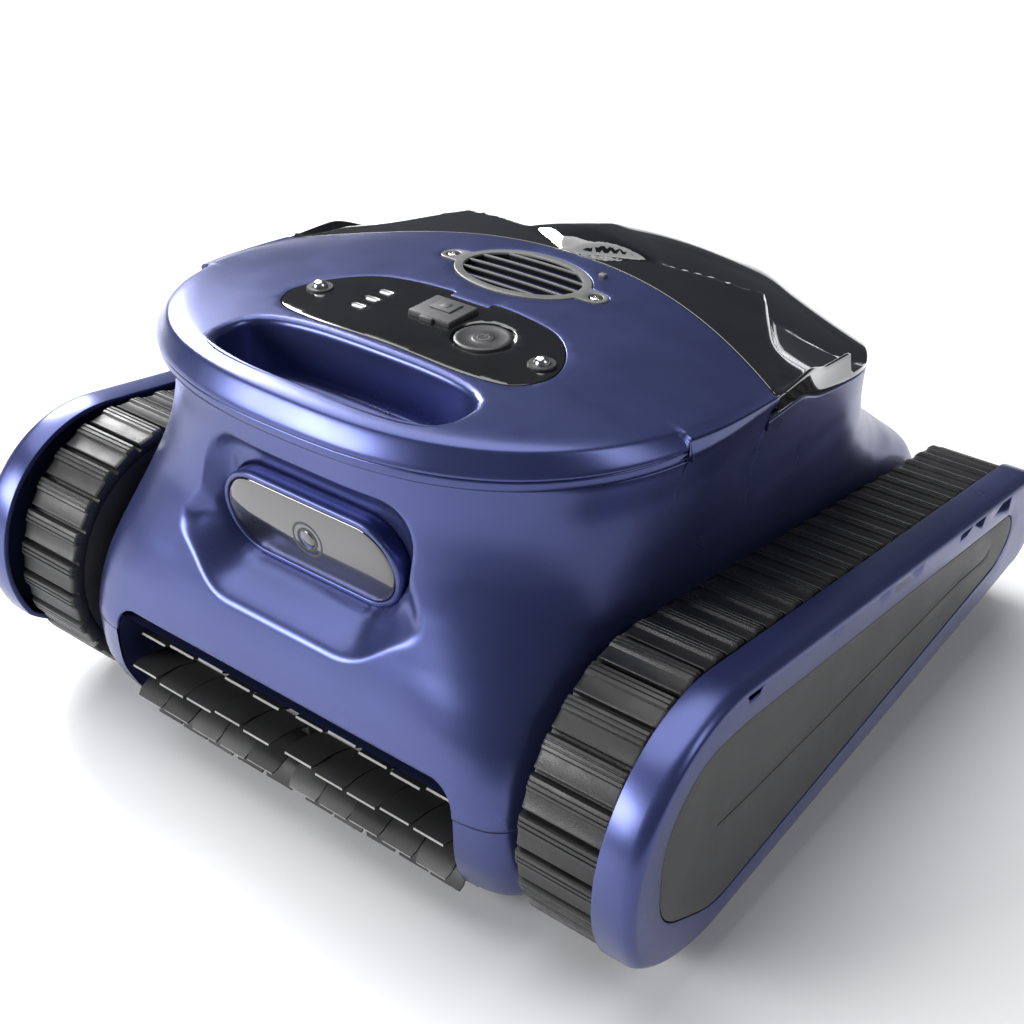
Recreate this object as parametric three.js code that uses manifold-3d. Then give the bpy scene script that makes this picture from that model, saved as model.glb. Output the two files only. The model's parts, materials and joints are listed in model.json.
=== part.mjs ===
// Cordless tracked pool cleaner. Millimetres, +Z up. The front (brush side) faces -Y, the robot's
// flanks face -X and +X, and x = 0 is its plane of symmetry. The tracks stand on z = 0.
import * as THREE from "three";
import { mergeVertices } from "three/addons/utils/BufferGeometryUtils.js";
import Module from "manifold-3d";

const wasm = await Module();
wasm.setup();

// ---- Driving dimensions ----
const GAP = 0.3; // clearance kept between touching pieces
const WALL = 4; // moulded wall of the casings

const BODY_HALF_WIDTH = 143; // centre plane to the flank between the tracks
const WHEELBASE = 309; // front axle to rear axle
const FRONT_WHEEL_RADIUS = 63.5;
const REAR_WHEEL_RADIUS = 38.7;
const BELT_THICKNESS = 4;
const LUG_HEIGHT = 5;
const LUG_COUNT = 56;
const LUG_WIDTH = 8.4;
const TRACK_WIDTH = 42.5;
const TRACK_INSET = 2.5; // body flank to the belt's inner edge
const COVER_GAP = 2.5; // belt's outer edge to the side cover
const COVER_DEPTH = 19.5; // thickness of a side cover
const COVER_FRONT_RADIUS = 70;
const COVER_REAR_RADIUS = 30;
const COVER_NOSE = 80; // front axle to the front tip of a side cover
const COVER_WALL = 3.2;
const INSERT_DEPTH = 2;
const AXLE_RADIUS = 6;

const HOUSING_BOTTOM = 16;
const SEAM_Z = 71.5; // lower housing to upper shell
const LIP_BOTTOM_Z = 211;
const LIP_SEAM_Z = 217;
const DECK_Z = 231;
const DECK_LENGTH_TO_BORDER = 208.5; // lip's front edge to the lid's front edge on the centre line
const LIP_OVERHANG = 11; // deck's half-width beyond the body flank
const LID_PEAK_Z = 238;

const BRUSH_RADIUS = 38;
const BRUSH_CORE_RADIUS = 12;
const BRUSH_Z = 41;
const BRUSH_AHEAD = 33.5; // brush axis ahead of the front axle
const BRUSH_VANES = 12;
const BRUSH_END_INSET = 32; // body flank to the cheek of the brush bay
const AXLE_GEAR_TEETH = 28;
const BRUSH_GEAR_TEETH = 18;
const GEAR_WIDTH = 5;
const SHAFT_RADIUS = 4;

const PINION_TEETH = 8;
const RING_TEETH = 32;
const GEAR_PITCH_RADIUS = 11.5; // of a drive pinion
const PINION_ANGLE = THREE.MathUtils.degToRad(-17); // pinion's bearing from the wheel's axis
const MOTOR_RADIUS = 17;
const MOTOR_INSET = 19; // body flank to the motor's outboard face
const MOTOR_LENGTH = 62;

const WINDOW_HALF_LENGTH = 52.5;
const WINDOW_HALF_HEIGHT = 19.5;
const WINDOW_Z = 153.5;
const WINDOW_TILT = THREE.MathUtils.degToRad(6);
const LENS_RADIUS = 8.5;

const HANDLE_HALF_LENGTH = 70;
const HANDLE_HALF_WIDTH = 20;
const HANDLE_DEPTH = 31;
const BUTTON_RADIUS = 13.8;
const BUTTON_TRAVEL = 1.5;
const VENT_RADIUS_X = 39;
const VENT_RADIUS_Y = 26;
const VENT_SLATS = 5;
const IMPELLER_RADIUS = 19;

// ---- Places that follow from them ----
const REAR_REACH = REAR_WHEEL_RADIUS + GAP + BELT_THICKNESS + LUG_HEIGHT;
const FRONT_REACH = FRONT_WHEEL_RADIUS + GAP + BELT_THICKNESS + LUG_HEIGHT;
const LENGTH = COVER_NOSE + WHEELBASE + REAR_REACH;
const FRONT_AXLE = { y: COVER_NOSE - LENGTH / 2, z: FRONT_REACH };
const REAR_AXLE = { y: FRONT_AXLE.y + WHEELBASE, z: REAR_REACH };
const BELT_INNER_X = BODY_HALF_WIDTH + TRACK_INSET;
const BELT_OUTER_X = BELT_INNER_X + TRACK_WIDTH;
const COVER_INNER_X = BELT_OUTER_X + COVER_GAP;
const COVER_OUTER_X = COVER_INNER_X + COVER_DEPTH;
const BODY_FRONT = FRONT_AXLE.y - 72.5;
const BODY_REAR = REAR_AXLE.y + 37.5;
const LIP_FRONT = FRONT_AXLE.y - 52;
const DECK_CENTRE_Y = LIP_FRONT + 140.5; // widest line of the deck
const BORDER_Y = LIP_FRONT + DECK_LENGTH_TO_BORDER;
const DECK_HALF_WIDTH = BODY_HALF_WIDTH + LIP_OVERHANG;
const BRUSH_Y = FRONT_AXLE.y - BRUSH_AHEAD;
const BRUSH_HALF_LENGTH = BODY_HALF_WIDTH - BRUSH_END_INSET - 5;
const BAY_HALF_LENGTH = BODY_HALF_WIDTH - BRUSH_END_INSET;
const BAY_RADIUS = BRUSH_RADIUS + 3;
const LID_HINGE = { y: REAR_AXLE.y + 6, z: 147 };
const VENT_Y = LIP_FRONT + 172;
const GEAR_CENTRES = GEAR_PITCH_RADIUS * (RING_TEETH / PINION_TEETH - 1);
const MOTOR = {
  y: FRONT_AXLE.y + GEAR_CENTRES * Math.cos(PINION_ANGLE),
  z: FRONT_AXLE.z + GEAR_CENTRES * Math.sin(PINION_ANGLE),
  x1: BODY_HALF_WIDTH - MOTOR_INSET,
};
const BATTERY = { halfX: 62, y0: FRONT_AXLE.y + 64, y1: FRONT_AXLE.y + 126, z0: 30, z1: 84 };
const WINDOW_Y = FRONT_AXLE.y - 39;
const HANDLE_Y = LIP_FRONT + 41.5;
const PANEL_REAR_Y = LIP_FRONT + 134.5;

// ---- Materials ----
function finish(color, roughness, metalness) {
  return new THREE.MeshStandardMaterial({ color, roughness, metalness });
}
const BLUE = finish(0x3d4a80, 0.35, 0.6);
const SMOKED = finish(0x08080a, 0.06, 0);
const GLOSS_BLACK = finish(0x101012, 0.2, 0);
const BLACK_PLASTIC = finish(0x1c1c1e, 0.5, 0);
const CHARCOAL = finish(0x3a3b3a, 0.55, 0);
const RUBBER = finish(0x2e2e30, 0.8, 0);
const GREY_PLASTIC = finish(0x7a7c7a, 0.5, 0);
const WHITE_PLASTIC = finish(0xe8ebee, 0.4, 0);
const STEEL = finish(0xb8babd, 0.25, 1);
const MESH_GREY = finish(0x9a9ea2, 0.6, 0);
const BOARD_GREEN = finish(0x1f5b3a, 0.5, 0);
const CELL_WRAP = finish(0x2a4f9c, 0.4, 0);

const robot = new THREE.Group();

// ---- Solids ----
function solid(geometry) {
  const bare = geometry.index ? geometry.toNonIndexed() : geometry.clone();
  bare.deleteAttribute("normal");
  bare.deleteAttribute("uv");
  const merged = mergeVertices(bare, 1e-4);
  return new wasm.Manifold(
    new wasm.Mesh({
      numProp: 3,
      vertProperties: new Float32Array(merged.attributes.position.array),
      triVerts: new Uint32Array(merged.index.array),
    }),
  );
}

function geometryOf(body) {
  const shape = body.getMesh();
  const geometry = new THREE.BufferGeometry();
  geometry.setAttribute("position", new THREE.BufferAttribute(shape.vertProperties, 3));
  geometry.setIndex(new THREE.BufferAttribute(shape.triVerts, 1));
  geometry.computeVertexNormals();
  return geometry;
}

function place(name, body, material) {
  const mesh = new THREE.Mesh(geometryOf(body), material);
  mesh.name = name;
  robot.add(mesh);
}

// The same piece on the left (-X) and right (+X) flanks.
function placePair(name, body, material) {
  place(name + "_right", body, material);
  place(name + "_left", body.mirror([1, 0, 0]), material);
}

const TO_YZ = new THREE.Matrix4().makeBasis(
  new THREE.Vector3(0, 1, 0),
  new THREE.Vector3(0, 0, 1),
  new THREE.Vector3(1, 0, 0),
);
const TO_XZ = new THREE.Matrix4().makeBasis(
  new THREE.Vector3(1, 0, 0),
  new THREE.Vector3(0, 0, 1),
  new THREE.Vector3(0, -1, 0),
);

function extrude(shape, depth, options = {}) {
  return new THREE.ExtrudeGeometry(shape, { depth, bevelEnabled: false, curveSegments: 8, ...options });
}

// A (y, z) outline carried along X from x0 to x1.
function alongX(shape, x0, x1, options) {
  const geometry = extrude(shape, x1 - x0, options).applyMatrix4(TO_YZ);
  return solid(geometry.translate(x0, 0, 0));
}

// An (x, z) outline carried along Y from y0 (rear) forward to y1.
function alongY(shape, y0, y1, options) {
  const geometry = extrude(shape, y0 - y1, options).applyMatrix4(TO_XZ);
  return solid(geometry.translate(0, y0, 0));
}

// An (x, y) outline carried up from z0 to z1.
function alongZ(shape, z0, z1, options) {
  return solid(extrude(shape, z1 - z0, options).translate(0, 0, z0));
}

function box(x0, x1, y0, y1, z0, z1) {
  const geometry = new THREE.BoxGeometry(x1 - x0, y1 - y0, z1 - z0);
  return solid(geometry.translate((x0 + x1) / 2, (y0 + y1) / 2, (z0 + z1) / 2));
}

function rodX(radius, x0, x1, y, z, sides = 16) {
  const geometry = new THREE.CylinderGeometry(radius, radius, x1 - x0, sides);
  return solid(geometry.rotateZ(-Math.PI / 2).translate((x0 + x1) / 2, y, z));
}

function rodZ(radius, x, y, z0, z1, sides = 16) {
  const geometry = new THREE.CylinderGeometry(radius, radius, z1 - z0, sides);
  return solid(geometry.rotateX(Math.PI / 2).translate(x, y, (z0 + z1) / 2));
}

// A closed solid through rings of equal point count, each listed counter-clockwise seen from the
// last ring's side.
function loft(rings) {
  const count = rings[0].length;
  const positions = rings.flat().flatMap((p) => [p.x, p.y, p.z]);
  const faces = [];
  for (let r = 0; r + 1 < rings.length; r++) {
    for (let i = 0; i < count; i++) {
      const a = r * count + i;
      const b = r * count + ((i + 1) % count);
      faces.push(a, b, b + count, a, b + count, a + count);
    }
  }
  const caps = [rings[0], rings[rings.length - 1]];
  caps.forEach((ring, end) => {
    const middle = ring.reduce((sum, p) => sum.add(p), new THREE.Vector3()).divideScalar(count);
    const hub = positions.length / 3;
    positions.push(middle.x, middle.y, middle.z);
    const first = end * (rings.length - 1) * count;
    for (let i = 0; i < count; i++) {
      const a = first + i;
      const b = first + ((i + 1) % count);
      faces.push(...(end ? [a, b, hub] : [b, a, hub]));
    }
  });
  const geometry = new THREE.BufferGeometry();
  geometry.setAttribute("position", new THREE.Float32BufferAttribute(positions, 3));
  geometry.setIndex(faces);
  return solid(geometry);
}

// ---- Outlines ----
function polygon(points) {
  return new THREE.Shape(points.map(([u, v]) => new THREE.Vector2(u, v)));
}

// The same outline as a plain polygon, with each curve in so many steps and no doubled points.
function stepped(shape, steps) {
  const points = shape.getPoints(steps);
  return new THREE.Shape(points.filter((p, i) => {
    const next = points[(i + 1) % points.length];
    return p.distanceTo(next) > 0.2;
  }));
}

// A slot with round ends, halfLength long and halfHeight high.
function stadium(halfLength, halfHeight, u = 0, v = 0) {
  const straight = halfLength - halfHeight;
  return new THREE.Shape()
    .absarc(u + straight, v, halfHeight, -Math.PI / 2, Math.PI / 2)
    .absarc(u - straight, v, halfHeight, Math.PI / 2, (3 * Math.PI) / 2)
    .closePath();
}

// A point of a superellipse: power 2 is an ellipse, and a higher power squares its corners.
function superPoint(halfX, halfY, power, angle) {
  const c = Math.cos(angle);
  const s = Math.sin(angle);
  return {
    x: halfX * Math.sign(c) * Math.abs(c) ** (2 / power),
    y: halfY * Math.sign(s) * Math.abs(s) ** (2 / power),
  };
}

// The body's plan at one height, in from its outer skin by inset: a superellipse ahead of the
// deck's widest line, another behind the point where the flanks turn in, and straight flanks between.
const RING_POINTS = 32;
const FLANK_REAR_Y = REAR_AXLE.y - 110;
function planRing(level, z, inset = 0) {
  const ring = [];
  for (let i = 0; i < RING_POINTS; i++) {
    const angle = (2 * Math.PI * (i + 0.5)) / RING_POINTS;
    const rear = Math.sin(angle) > 0;
    const centre = rear ? FLANK_REAR_Y : DECK_CENTRE_Y;
    const reach = rear ? level.rear - centre : centre - level.front;
    const power = rear ? level.rearPower : level.frontPower;
    const p = superPoint(level.side - inset, reach - inset, power, angle);
    ring.push(new THREE.Vector3(p.x, centre + p.y, z));
  }
  return ring;
}

// ---- The body's skin ----
// Each level: height, half-width beyond the flank, front and rear ends behind or ahead of the
// body's own ends, and how square the corners are.
const BODY_LEVELS = [
  [HOUSING_BOTTOM, -6, 6, 9, 8, 7],
  [HOUSING_BOTTOM + 9, -1, 1, 12, 1, 8],
  [HOUSING_BOTTOM + 20, 0, 0, 12, 0, 8],
  [SEAM_Z, 0, 0, 12, 0, 8],
  [87, 0, 2.5, 11, 4, 6.5],
  [102, 0, 6, 9, 17, 4.6],
  [116, 0, 11, 7, 27, 3.2],
  [130, -0.5, 17, 5.5, 33, 2.6],
  [143, -1, 22, 4.5, 40, 2.4],
  [155, -1, 26, 3.8, 45, 2.4],
  [170, 0, 29, 3.2, 50, 2.4],
  [190, 3, 32, 2.8, 60, 2.6],
  [207, 8, 32.5, 2.6, 66, 2.6],
].map(([z, widen, frontInset, frontPower, rearInset, rearPower]) => ({
  z,
  side: BODY_HALF_WIDTH + widen,
  front: BODY_FRONT + frontInset,
  frontPower,
  rear: BODY_REAR - rearInset,
  rearPower,
}));
const DECK_LEVEL = {
  side: DECK_HALF_WIDTH,
  front: LIP_FRONT,
  frontPower: 2.5,
  rear: BODY_REAR - 66,
  rearPower: 2.6,
};

// The height of the seam between the shell below and the deck and lid above, along Y.
const STEP_Y = LIP_FRONT + 93;
const LID_CORNER_Y = LIP_FRONT + 161;
const SEAM_OVER_FLANK = [
  [BODY_FRONT - 60, LIP_BOTTOM_Z],
  [STEP_Y, LIP_BOTTOM_Z],
  [STEP_Y, LIP_BOTTOM_Z + 11],
  [LID_CORNER_Y, LIP_BOTTOM_Z + 5],
  [LID_CORNER_Y + 1, LIP_BOTTOM_Z - 11],
  [LID_CORNER_Y + 29, LIP_BOTTOM_Z - 11],
  [REAR_AXLE.y - 141, 190],
  [REAR_AXLE.y - 86, 180],
  [REAR_AXLE.y - 41, 164],
  [REAR_AXLE.y, 141.5],
  [BODY_REAR + 60, 100],
];
function seamCut(raise, shiftStep) {
  const points = SEAM_OVER_FLANK.map(([y, z]) => [y, z]);
  points[1][0] += shiftStep;
  points[2][0] += shiftStep;
  const raised = points.map(([y, z]) => [y, z + raise]);
  return polygon([...raised, [BODY_REAR + 60, 330], [BODY_FRONT - 60, 330]]);
}

// ---- Camera recess ----
const RECESS_POINTS = 20;
function recessRings(grow) {
  const sections = [
    [BODY_FRONT - 12, 74, 96, 193],
    [BODY_FRONT + 11, 69, 115, 191],
    [BODY_FRONT + 27, 65, 127, 190],
    [BODY_FRONT + 39, 62, 134, 187],
    [BODY_FRONT + 44, 57, 139, 182],
  ];
  return sections.map(([y, half, low, high], i) => {
    const ring = [];
    const middle = (low + high) / 2;
    for (let k = 0; k < RECESS_POINTS; k++) {
      const angle = (2 * Math.PI * (k + 0.5)) / RECESS_POINTS;
      const p = superPoint(half + grow, (high - low) / 2 + grow, 4, angle);
      ring.push(new THREE.Vector3(p.x, y + (i === sections.length - 1 ? grow : 0), middle + p.y));
    }
    return ring.reverse();
  });
}

function tilted(body) {
  const degrees = THREE.MathUtils.radToDeg(WINDOW_TILT);
  return body.rotate([degrees, 0, 0]).translate([0, WINDOW_Y, WINDOW_Z]);
}

function cameraSlab(halfLength, halfHeight, back, front) {
  return tilted(alongY(stadium(halfLength, halfHeight), back, front));
}

const BEZEL_RIM = 3.6;
const BEZEL_HALF_LENGTH = WINDOW_HALF_LENGTH + BEZEL_RIM;
const BEZEL_HALF_HEIGHT = WINDOW_HALF_HEIGHT + BEZEL_RIM;

function addCamera() {
  const body = cameraSlab(BEZEL_HALF_LENGTH, BEZEL_HALF_HEIGHT, 22, -1.2)
    .subtract(cameraSlab(WINDOW_HALF_LENGTH, WINDOW_HALF_HEIGHT, 2.6, -4))
    .subtract(cameraSlab(WINDOW_HALF_LENGTH - 6, WINDOW_HALF_HEIGHT - 6, 18, 0));
  place("camera_bezel", body, BLUE);
  const pane = cameraSlab(WINDOW_HALF_LENGTH - GAP, WINDOW_HALF_HEIGHT - GAP, 2.6 - GAP, -0.4);
  place("camera_window", pane, GLOSS_BLACK);
  const barrel = [
    [0, 0], [LENS_RADIUS + 3, 0], [LENS_RADIUS + 3, 5], [LENS_RADIUS, 5], [LENS_RADIUS, 10],
    [LENS_RADIUS - 3, 10], [LENS_RADIUS - 5, 8.5], [0, 7.6],
  ].map(([r, h]) => new THREE.Vector2(r, h));
  const lens = solid(new THREE.LatheGeometry(barrel, 20));
  place("camera_module", tilted(lens.rotate([180, 0, 0]).translate([0, 17, 0])), BLACK_PLASTIC);
}

// ---- Lower housing with the brush bay ----
const INTAKE = { x: 48, y: REAR_AXLE.y - 85, halfX: 32, halfY: 13 };
const BAY_WALL = 3.5;
const BAY_LIP_ANGLE = THREE.MathUtils.degToRad(125);

// The bay's arch over the back and top of the brush, as a (y, z) outline between two radii.
function bayArch(from, to) {
  const shape = new THREE.Shape();
  shape.moveTo(BRUSH_Y + to, HOUSING_BOTTOM);
  shape.lineTo(BRUSH_Y + to, BRUSH_Z);
  shape.absarc(BRUSH_Y, BRUSH_Z, to, 0, BAY_LIP_ANGLE, false);
  shape.absarc(BRUSH_Y, BRUSH_Z, from, BAY_LIP_ANGLE, 0, true);
  shape.lineTo(BRUSH_Y + from, HOUSING_BOTTOM);
  return shape;
}

function bayCheek() {
  const outer = BAY_RADIUS + BAY_WALL / 2;
  const shape = new THREE.Shape();
  shape.moveTo(BRUSH_Y + outer, HOUSING_BOTTOM);
  shape.lineTo(BRUSH_Y + outer, BRUSH_Z);
  shape.absarc(BRUSH_Y, BRUSH_Z, outer, 0, BAY_LIP_ANGLE, false);
  shape.lineTo(BODY_FRONT + WALL + 5, SEAM_Z - GAP);
  shape.lineTo(BODY_FRONT + WALL - 1, SEAM_Z - 6);
  shape.lineTo(BODY_FRONT + WALL + 4, HOUSING_BOTTOM + 4);
  shape.lineTo(BODY_FRONT + WALL + 12, HOUSING_BOTTOM);
  return shape;
}

// Holes that the axles, the motors and the brush shaft pass through in the right-hand flank.
function flankHoles() {
  const outside = BODY_HALF_WIDTH + 10;
  const inside = BODY_HALF_WIDTH - 30;
  return rodX(AXLE_RADIUS + GAP, inside, outside, FRONT_AXLE.y, FRONT_AXLE.z)
    .add(rodX(AXLE_RADIUS + GAP, inside, outside, REAR_AXLE.y, REAR_AXLE.z))
    .add(rodX(6, MOTOR.x1, outside, MOTOR.y, MOTOR.z))
    .add(rodX(SHAFT_RADIUS + GAP, BAY_HALF_LENGTH - 5, BODY_HALF_WIDTH - WALL, BRUSH_Y, BRUSH_Z));
}

function bothFlanks(body) {
  return body.add(body.mirror([1, 0, 0]));
}

function addLowerHousing() {
  const outer = BODY_LEVELS.slice(0, 4).map((l) => planRing(l, Math.min(l.z, SEAM_Z - GAP)));
  const inner = [
    planRing(BODY_LEVELS[1], HOUSING_BOTTOM + WALL, WALL + 3.5),
    planRing(BODY_LEVELS[2], HOUSING_BOTTOM + 18, WALL),
    planRing(BODY_LEVELS[3], SEAM_Z + 5, WALL),
  ];
  const bayRear = BRUSH_Y + BAY_RADIUS + BAY_WALL / 2;
  const mouth = box(-BAY_HALF_LENGTH, BAY_HALF_LENGTH, BODY_FRONT - 5, bayRear, 0, SEAM_Z + 5);
  const cheek = alongX(bayCheek(), BAY_HALF_LENGTH, BAY_HALF_LENGTH + BAY_WALL);
  const cradle = box(MOTOR.x1 - 40, MOTOR.x1 - 12, MOTOR.y - 12, MOTOR.y + 12,
    HOUSING_BOTTOM + 1, MOTOR.z - MOTOR_RADIUS + 5)
    .subtract(rodX(MOTOR_RADIUS + GAP, 0, BODY_HALF_WIDTH, MOTOR.y, MOTOR.z));
  const rail = box(BATTERY.halfX - 24, BATTERY.halfX - 14, BATTERY.y0, BATTERY.y1,
    HOUSING_BOTTOM + 1, BATTERY.z0 - GAP);
  const suction = box(INTAKE.x - INTAKE.halfX, INTAKE.x + INTAKE.halfX,
    INTAKE.y - INTAKE.halfY, INTAKE.y + INTAKE.halfY, 0, HOUSING_BOTTOM + WALL + 1);
  const half = BAY_HALF_LENGTH + BAY_WALL / 2;
  const housing = loft(outer).subtract(loft(inner)).subtract(mouth)
    .add(alongX(bayArch(BAY_RADIUS, BAY_RADIUS + BAY_WALL), -half, half))
    .add(bothFlanks(cheek.add(cradle).add(rail)))
    .subtract(bothFlanks(suction.add(flankHoles())));
  place("lower_housing", housing, BLUE);
}

function addIntakes() {
  const halfX = INTAKE.x + INTAKE.halfX + 10;
  const mouth = box(INTAKE.x - INTAKE.halfX, INTAKE.x + INTAKE.halfX,
    INTAKE.y - INTAKE.halfY, INTAKE.y + INTAKE.halfY, 0, 100);
  const bar = box(INTAKE.x - 1.5, INTAKE.x + 1.5, INTAKE.y - INTAKE.halfY - 2,
    INTAKE.y + INTAKE.halfY + 2, HOUSING_BOTTOM - 3, HOUSING_BOTTOM - GAP);
  const plate = alongZ(stadium(halfX, INTAKE.halfY + 9), HOUSING_BOTTOM - 3, HOUSING_BOTTOM - GAP)
    .translate([0, INTAKE.y, 0]);
  place("intake_plate", plate.subtract(bothFlanks(mouth)).add(bothFlanks(bar)), BLACK_PLASTIC);

  const floor = HOUSING_BOTTOM + WALL;
  const ductX = INTAKE.halfX + 3;
  const ductY = INTAKE.halfY + 3.5;
  const grown = box(INTAKE.x - ductX - 2, INTAKE.x + ductX + 2, INTAKE.y - ductY - 2,
    INTAKE.y + ductY + 2, floor + GAP, BASKET.z0 - 2);
  const bore = box(INTAKE.x - ductX, INTAKE.x + ductX, INTAKE.y - ductY, INTAKE.y + ductY, 0, 200);
  const bridge = box(-INTAKE.x, INTAKE.x, INTAKE.y - ductY, INTAKE.y + ductY,
    BASKET.z0 - 5, BASKET.z0 - 2);
  place("intake_duct", bothFlanks(grown).add(bridge).subtract(bothFlanks(bore)), BLACK_PLASTIC);

  const flapY = INTAKE.y - INTAKE.halfY;
  const flap = box(INTAKE.x - ductX + 1, INTAKE.x + ductX - 1, flapY - 1, flapY + 2 * INTAKE.halfY + 2,
    floor + GAP, floor + GAP + 1.6);
  const knuckle = rodX(1.4, INTAKE.x - ductX + 1, INTAKE.x + ductX - 1, flapY - 1, floor + GAP + 1.5, 10);
  placePair("intake_flap", flap.add(knuckle), RUBBER);
}

// ---- Upper shell ----
function addUpperShell() {
  const levels = BODY_LEVELS.slice(3);
  const top = { ...DECK_LEVEL };
  const outer = levels.map((l) => planRing(l, l.z));
  outer.push(planRing(top, LIP_BOTTOM_Z + 2), planRing(top, LIP_BOTTOM_Z + 14));
  const inner = levels.filter((l, i) => i % 2 === 0).map((l) => planRing(l, l.z, WALL));
  inner[0] = planRing(levels[0], SEAM_Z - 3, WALL);
  inner.push(planRing(top, LIP_BOTTOM_Z + 2, WALL), planRing(top, LIP_BOTTOM_Z + 20, WALL));
  const cavity = loft(inner).subtract(loft(recessRings(WALL)));
  const slotHalf = BAY_HALF_LENGTH;
  const slot = alongY(
    polygon([[-slotHalf, 0], [slotHalf, 0], [slotHalf, 77], [slotHalf - 3, 83], [slotHalf - 11, 87],
      [11 - slotHalf, 87], [3 - slotHalf, 83], [-slotHalf, 77]]),
    BRUSH_Y, BODY_FRONT - 10);
  const ear = alongX(hingeEar(), HINGE_X - 14, HINGE_X - 8).add(alongX(hingeEar(), HINGE_X, HINGE_X + 6));
  const pinHole = rodX(HINGE_PIN_RADIUS + GAP, HINGE_X - 20, HINGE_X + 12, LID_HINGE.y, LID_HINGE.z, 12);
  const shell = loft(outer).subtract(cavity)
    .subtract(loft(recessRings(0)))
    .subtract(cameraSlab(BEZEL_HALF_LENGTH + GAP, BEZEL_HALF_HEIGHT + GAP, 30, -30))
    .subtract(slot)
    .subtract(alongX(seamCut(0, 0), -300, 300))
    .add(bothFlanks(ear))
    .subtract(bothFlanks(flankHoles().add(pinHole)));
  place("upper_shell", shell, BLUE);
}

// ---- Lid hinge ----
const HINGE_X = 64;
const HINGE_PIN_RADIUS = 2;
const KNUCKLE_RADIUS = 3.8;

function hingeEar() {
  const shape = new THREE.Shape();
  shape.moveTo(LID_HINGE.y - KNUCKLE_RADIUS, LID_HINGE.z - 30);
  shape.lineTo(LID_HINGE.y + KNUCKLE_RADIUS, LID_HINGE.z - 26);
  shape.lineTo(LID_HINGE.y + KNUCKLE_RADIUS, LID_HINGE.z);
  shape.absarc(LID_HINGE.y, LID_HINGE.z, KNUCKLE_RADIUS, 0, Math.PI, false);
  return shape;
}

// ---- Deck ----
const DECK_WALL = 4;
const CREASE_INSET = 6.3;

// Height of the deck's skin: flat over the grip, more crowned towards the lid.
function deckHeight(x, y) {
  const back = (y - LIP_FRONT) / 160;
  return DECK_Z - (3 + 11.5 * back * back) * Math.abs(x / (DECK_HALF_WIDTH - 4)) ** 2.2;
}

// A closed cap: rings shrinking from an outline to its centre line over a height function.
function cap(outline, centreY, fractions, height, lower) {
  const inward = fractions.map((f) =>
    outline.map((p) => {
      const x = p.x * f;
      const y = centreY + (p.y - centreY) * f;
      return new THREE.Vector3(x, y, height(x, y));
    }),
  );
  return loft([...lower, ...inward]);
}

// The lid's front border on the deck: an arc that bends forward towards the flanks.
function borderLine(shift) {
  const points = [];
  for (let i = -10; i <= 10; i++) {
    const x = (i / 10) * (DECK_HALF_WIDTH + 8);
    const drop = 45.5 * Math.abs(x / (DECK_HALF_WIDTH - 6)) ** 2.2;
    points.push([x, BORDER_Y - drop + shift]);
  }
  return points;
}

function behindBorder(shift) {
  const wide = DECK_HALF_WIDTH + 8;
  return alongZ(polygon([...borderLine(shift), [wide, BODY_REAR + 40], [-wide, BODY_REAR + 40]]), 0, 400);
}

function handleOutline(grow) {
  const points = [];
  for (let i = 0; i < 24; i++) {
    const p = superPoint(HANDLE_HALF_LENGTH + grow, HANDLE_HALF_WIDTH + grow, 3, (2 * Math.PI * i) / 24);
    points.push([p.x, HANDLE_Y + p.y]);
  }
  return polygon(points);
}

function panelOutline(shrink) {
  const half = 79 - shrink;
  const front = PANEL_REAR_Y - 62 + shrink;
  const rear = PANEL_REAR_Y - shrink;
  const right = [[0, front], [half * 0.62, front - 2], [half * 0.9, front + 4], [half, front + 19],
    [half * 0.93, rear - 25], [half * 0.72, rear - 8], [half * 0.42, rear - 1.5], [0, rear]];
  const left = right.slice(1, -1).reverse().map(([x, y]) => [-x, y]);
  const shape = new THREE.Shape();
  const points = [...right, ...left].map(([x, y]) => new THREE.Vector2(x, y));
  shape.moveTo(points[0].x, points[0].y);
  shape.splineThru([...points.slice(1), points[0].clone()]);
  return stepped(shape, 2);
}

const PANEL_TOP = DECK_Z - 0.4;
const PANEL_THICKNESS = 2;
const BUTTON = { x: 31.5, y: PANEL_REAR_Y - 32 };
const PORT = { halfX: 13, y0: PANEL_REAR_Y - 34, y1: PANEL_REAR_Y - 12 };
const LED_ROWS = [0, 1, 2].map((i) => ({ x: -38, y: PANEL_REAR_Y - 22 - 9.8 * i }));
const STUD = { x: 68.3, y: PANEL_REAR_Y - 36 };
const VENT_SCREW_X = 45;

function panelHoles(play) {
  let holes = rodZ(BUTTON_RADIUS + play, BUTTON.x, BUTTON.y, 0, 400, 28);
  holes = holes.add(rodZ(8, 0, (PORT.y0 + PORT.y1) / 2, 0, 400, 16));
  for (const led of LED_ROWS) {
    holes = holes.add(box(led.x - 3.5 - GAP, led.x + 3.5 + GAP, led.y - 1 - GAP, led.y + 1 + GAP, 0, 400));
  }
  return holes;
}

function ventOutline(grow) {
  const ring = new THREE.Shape()
    .absellipse(0, VENT_Y, VENT_RADIUS_X + grow, VENT_RADIUS_Y + grow, 0, 2 * Math.PI);
  return alongZ(ring, 0, 400)
    .add(alongZ(stadium(VENT_SCREW_X + 6.5 + grow, 6.5 + grow, 0, VENT_Y), 0, 400));
}

function ventBore(shrink) {
  return alongZ(new THREE.Shape()
    .absellipse(0, VENT_Y, VENT_RADIUS_X - shrink, VENT_RADIUS_Y - shrink, 0, 2 * Math.PI), 0, 400);
}

const VENT_TOP = DECK_Z + 0.4;
const VENT_SEAT = DECK_Z - 1.8;

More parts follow.
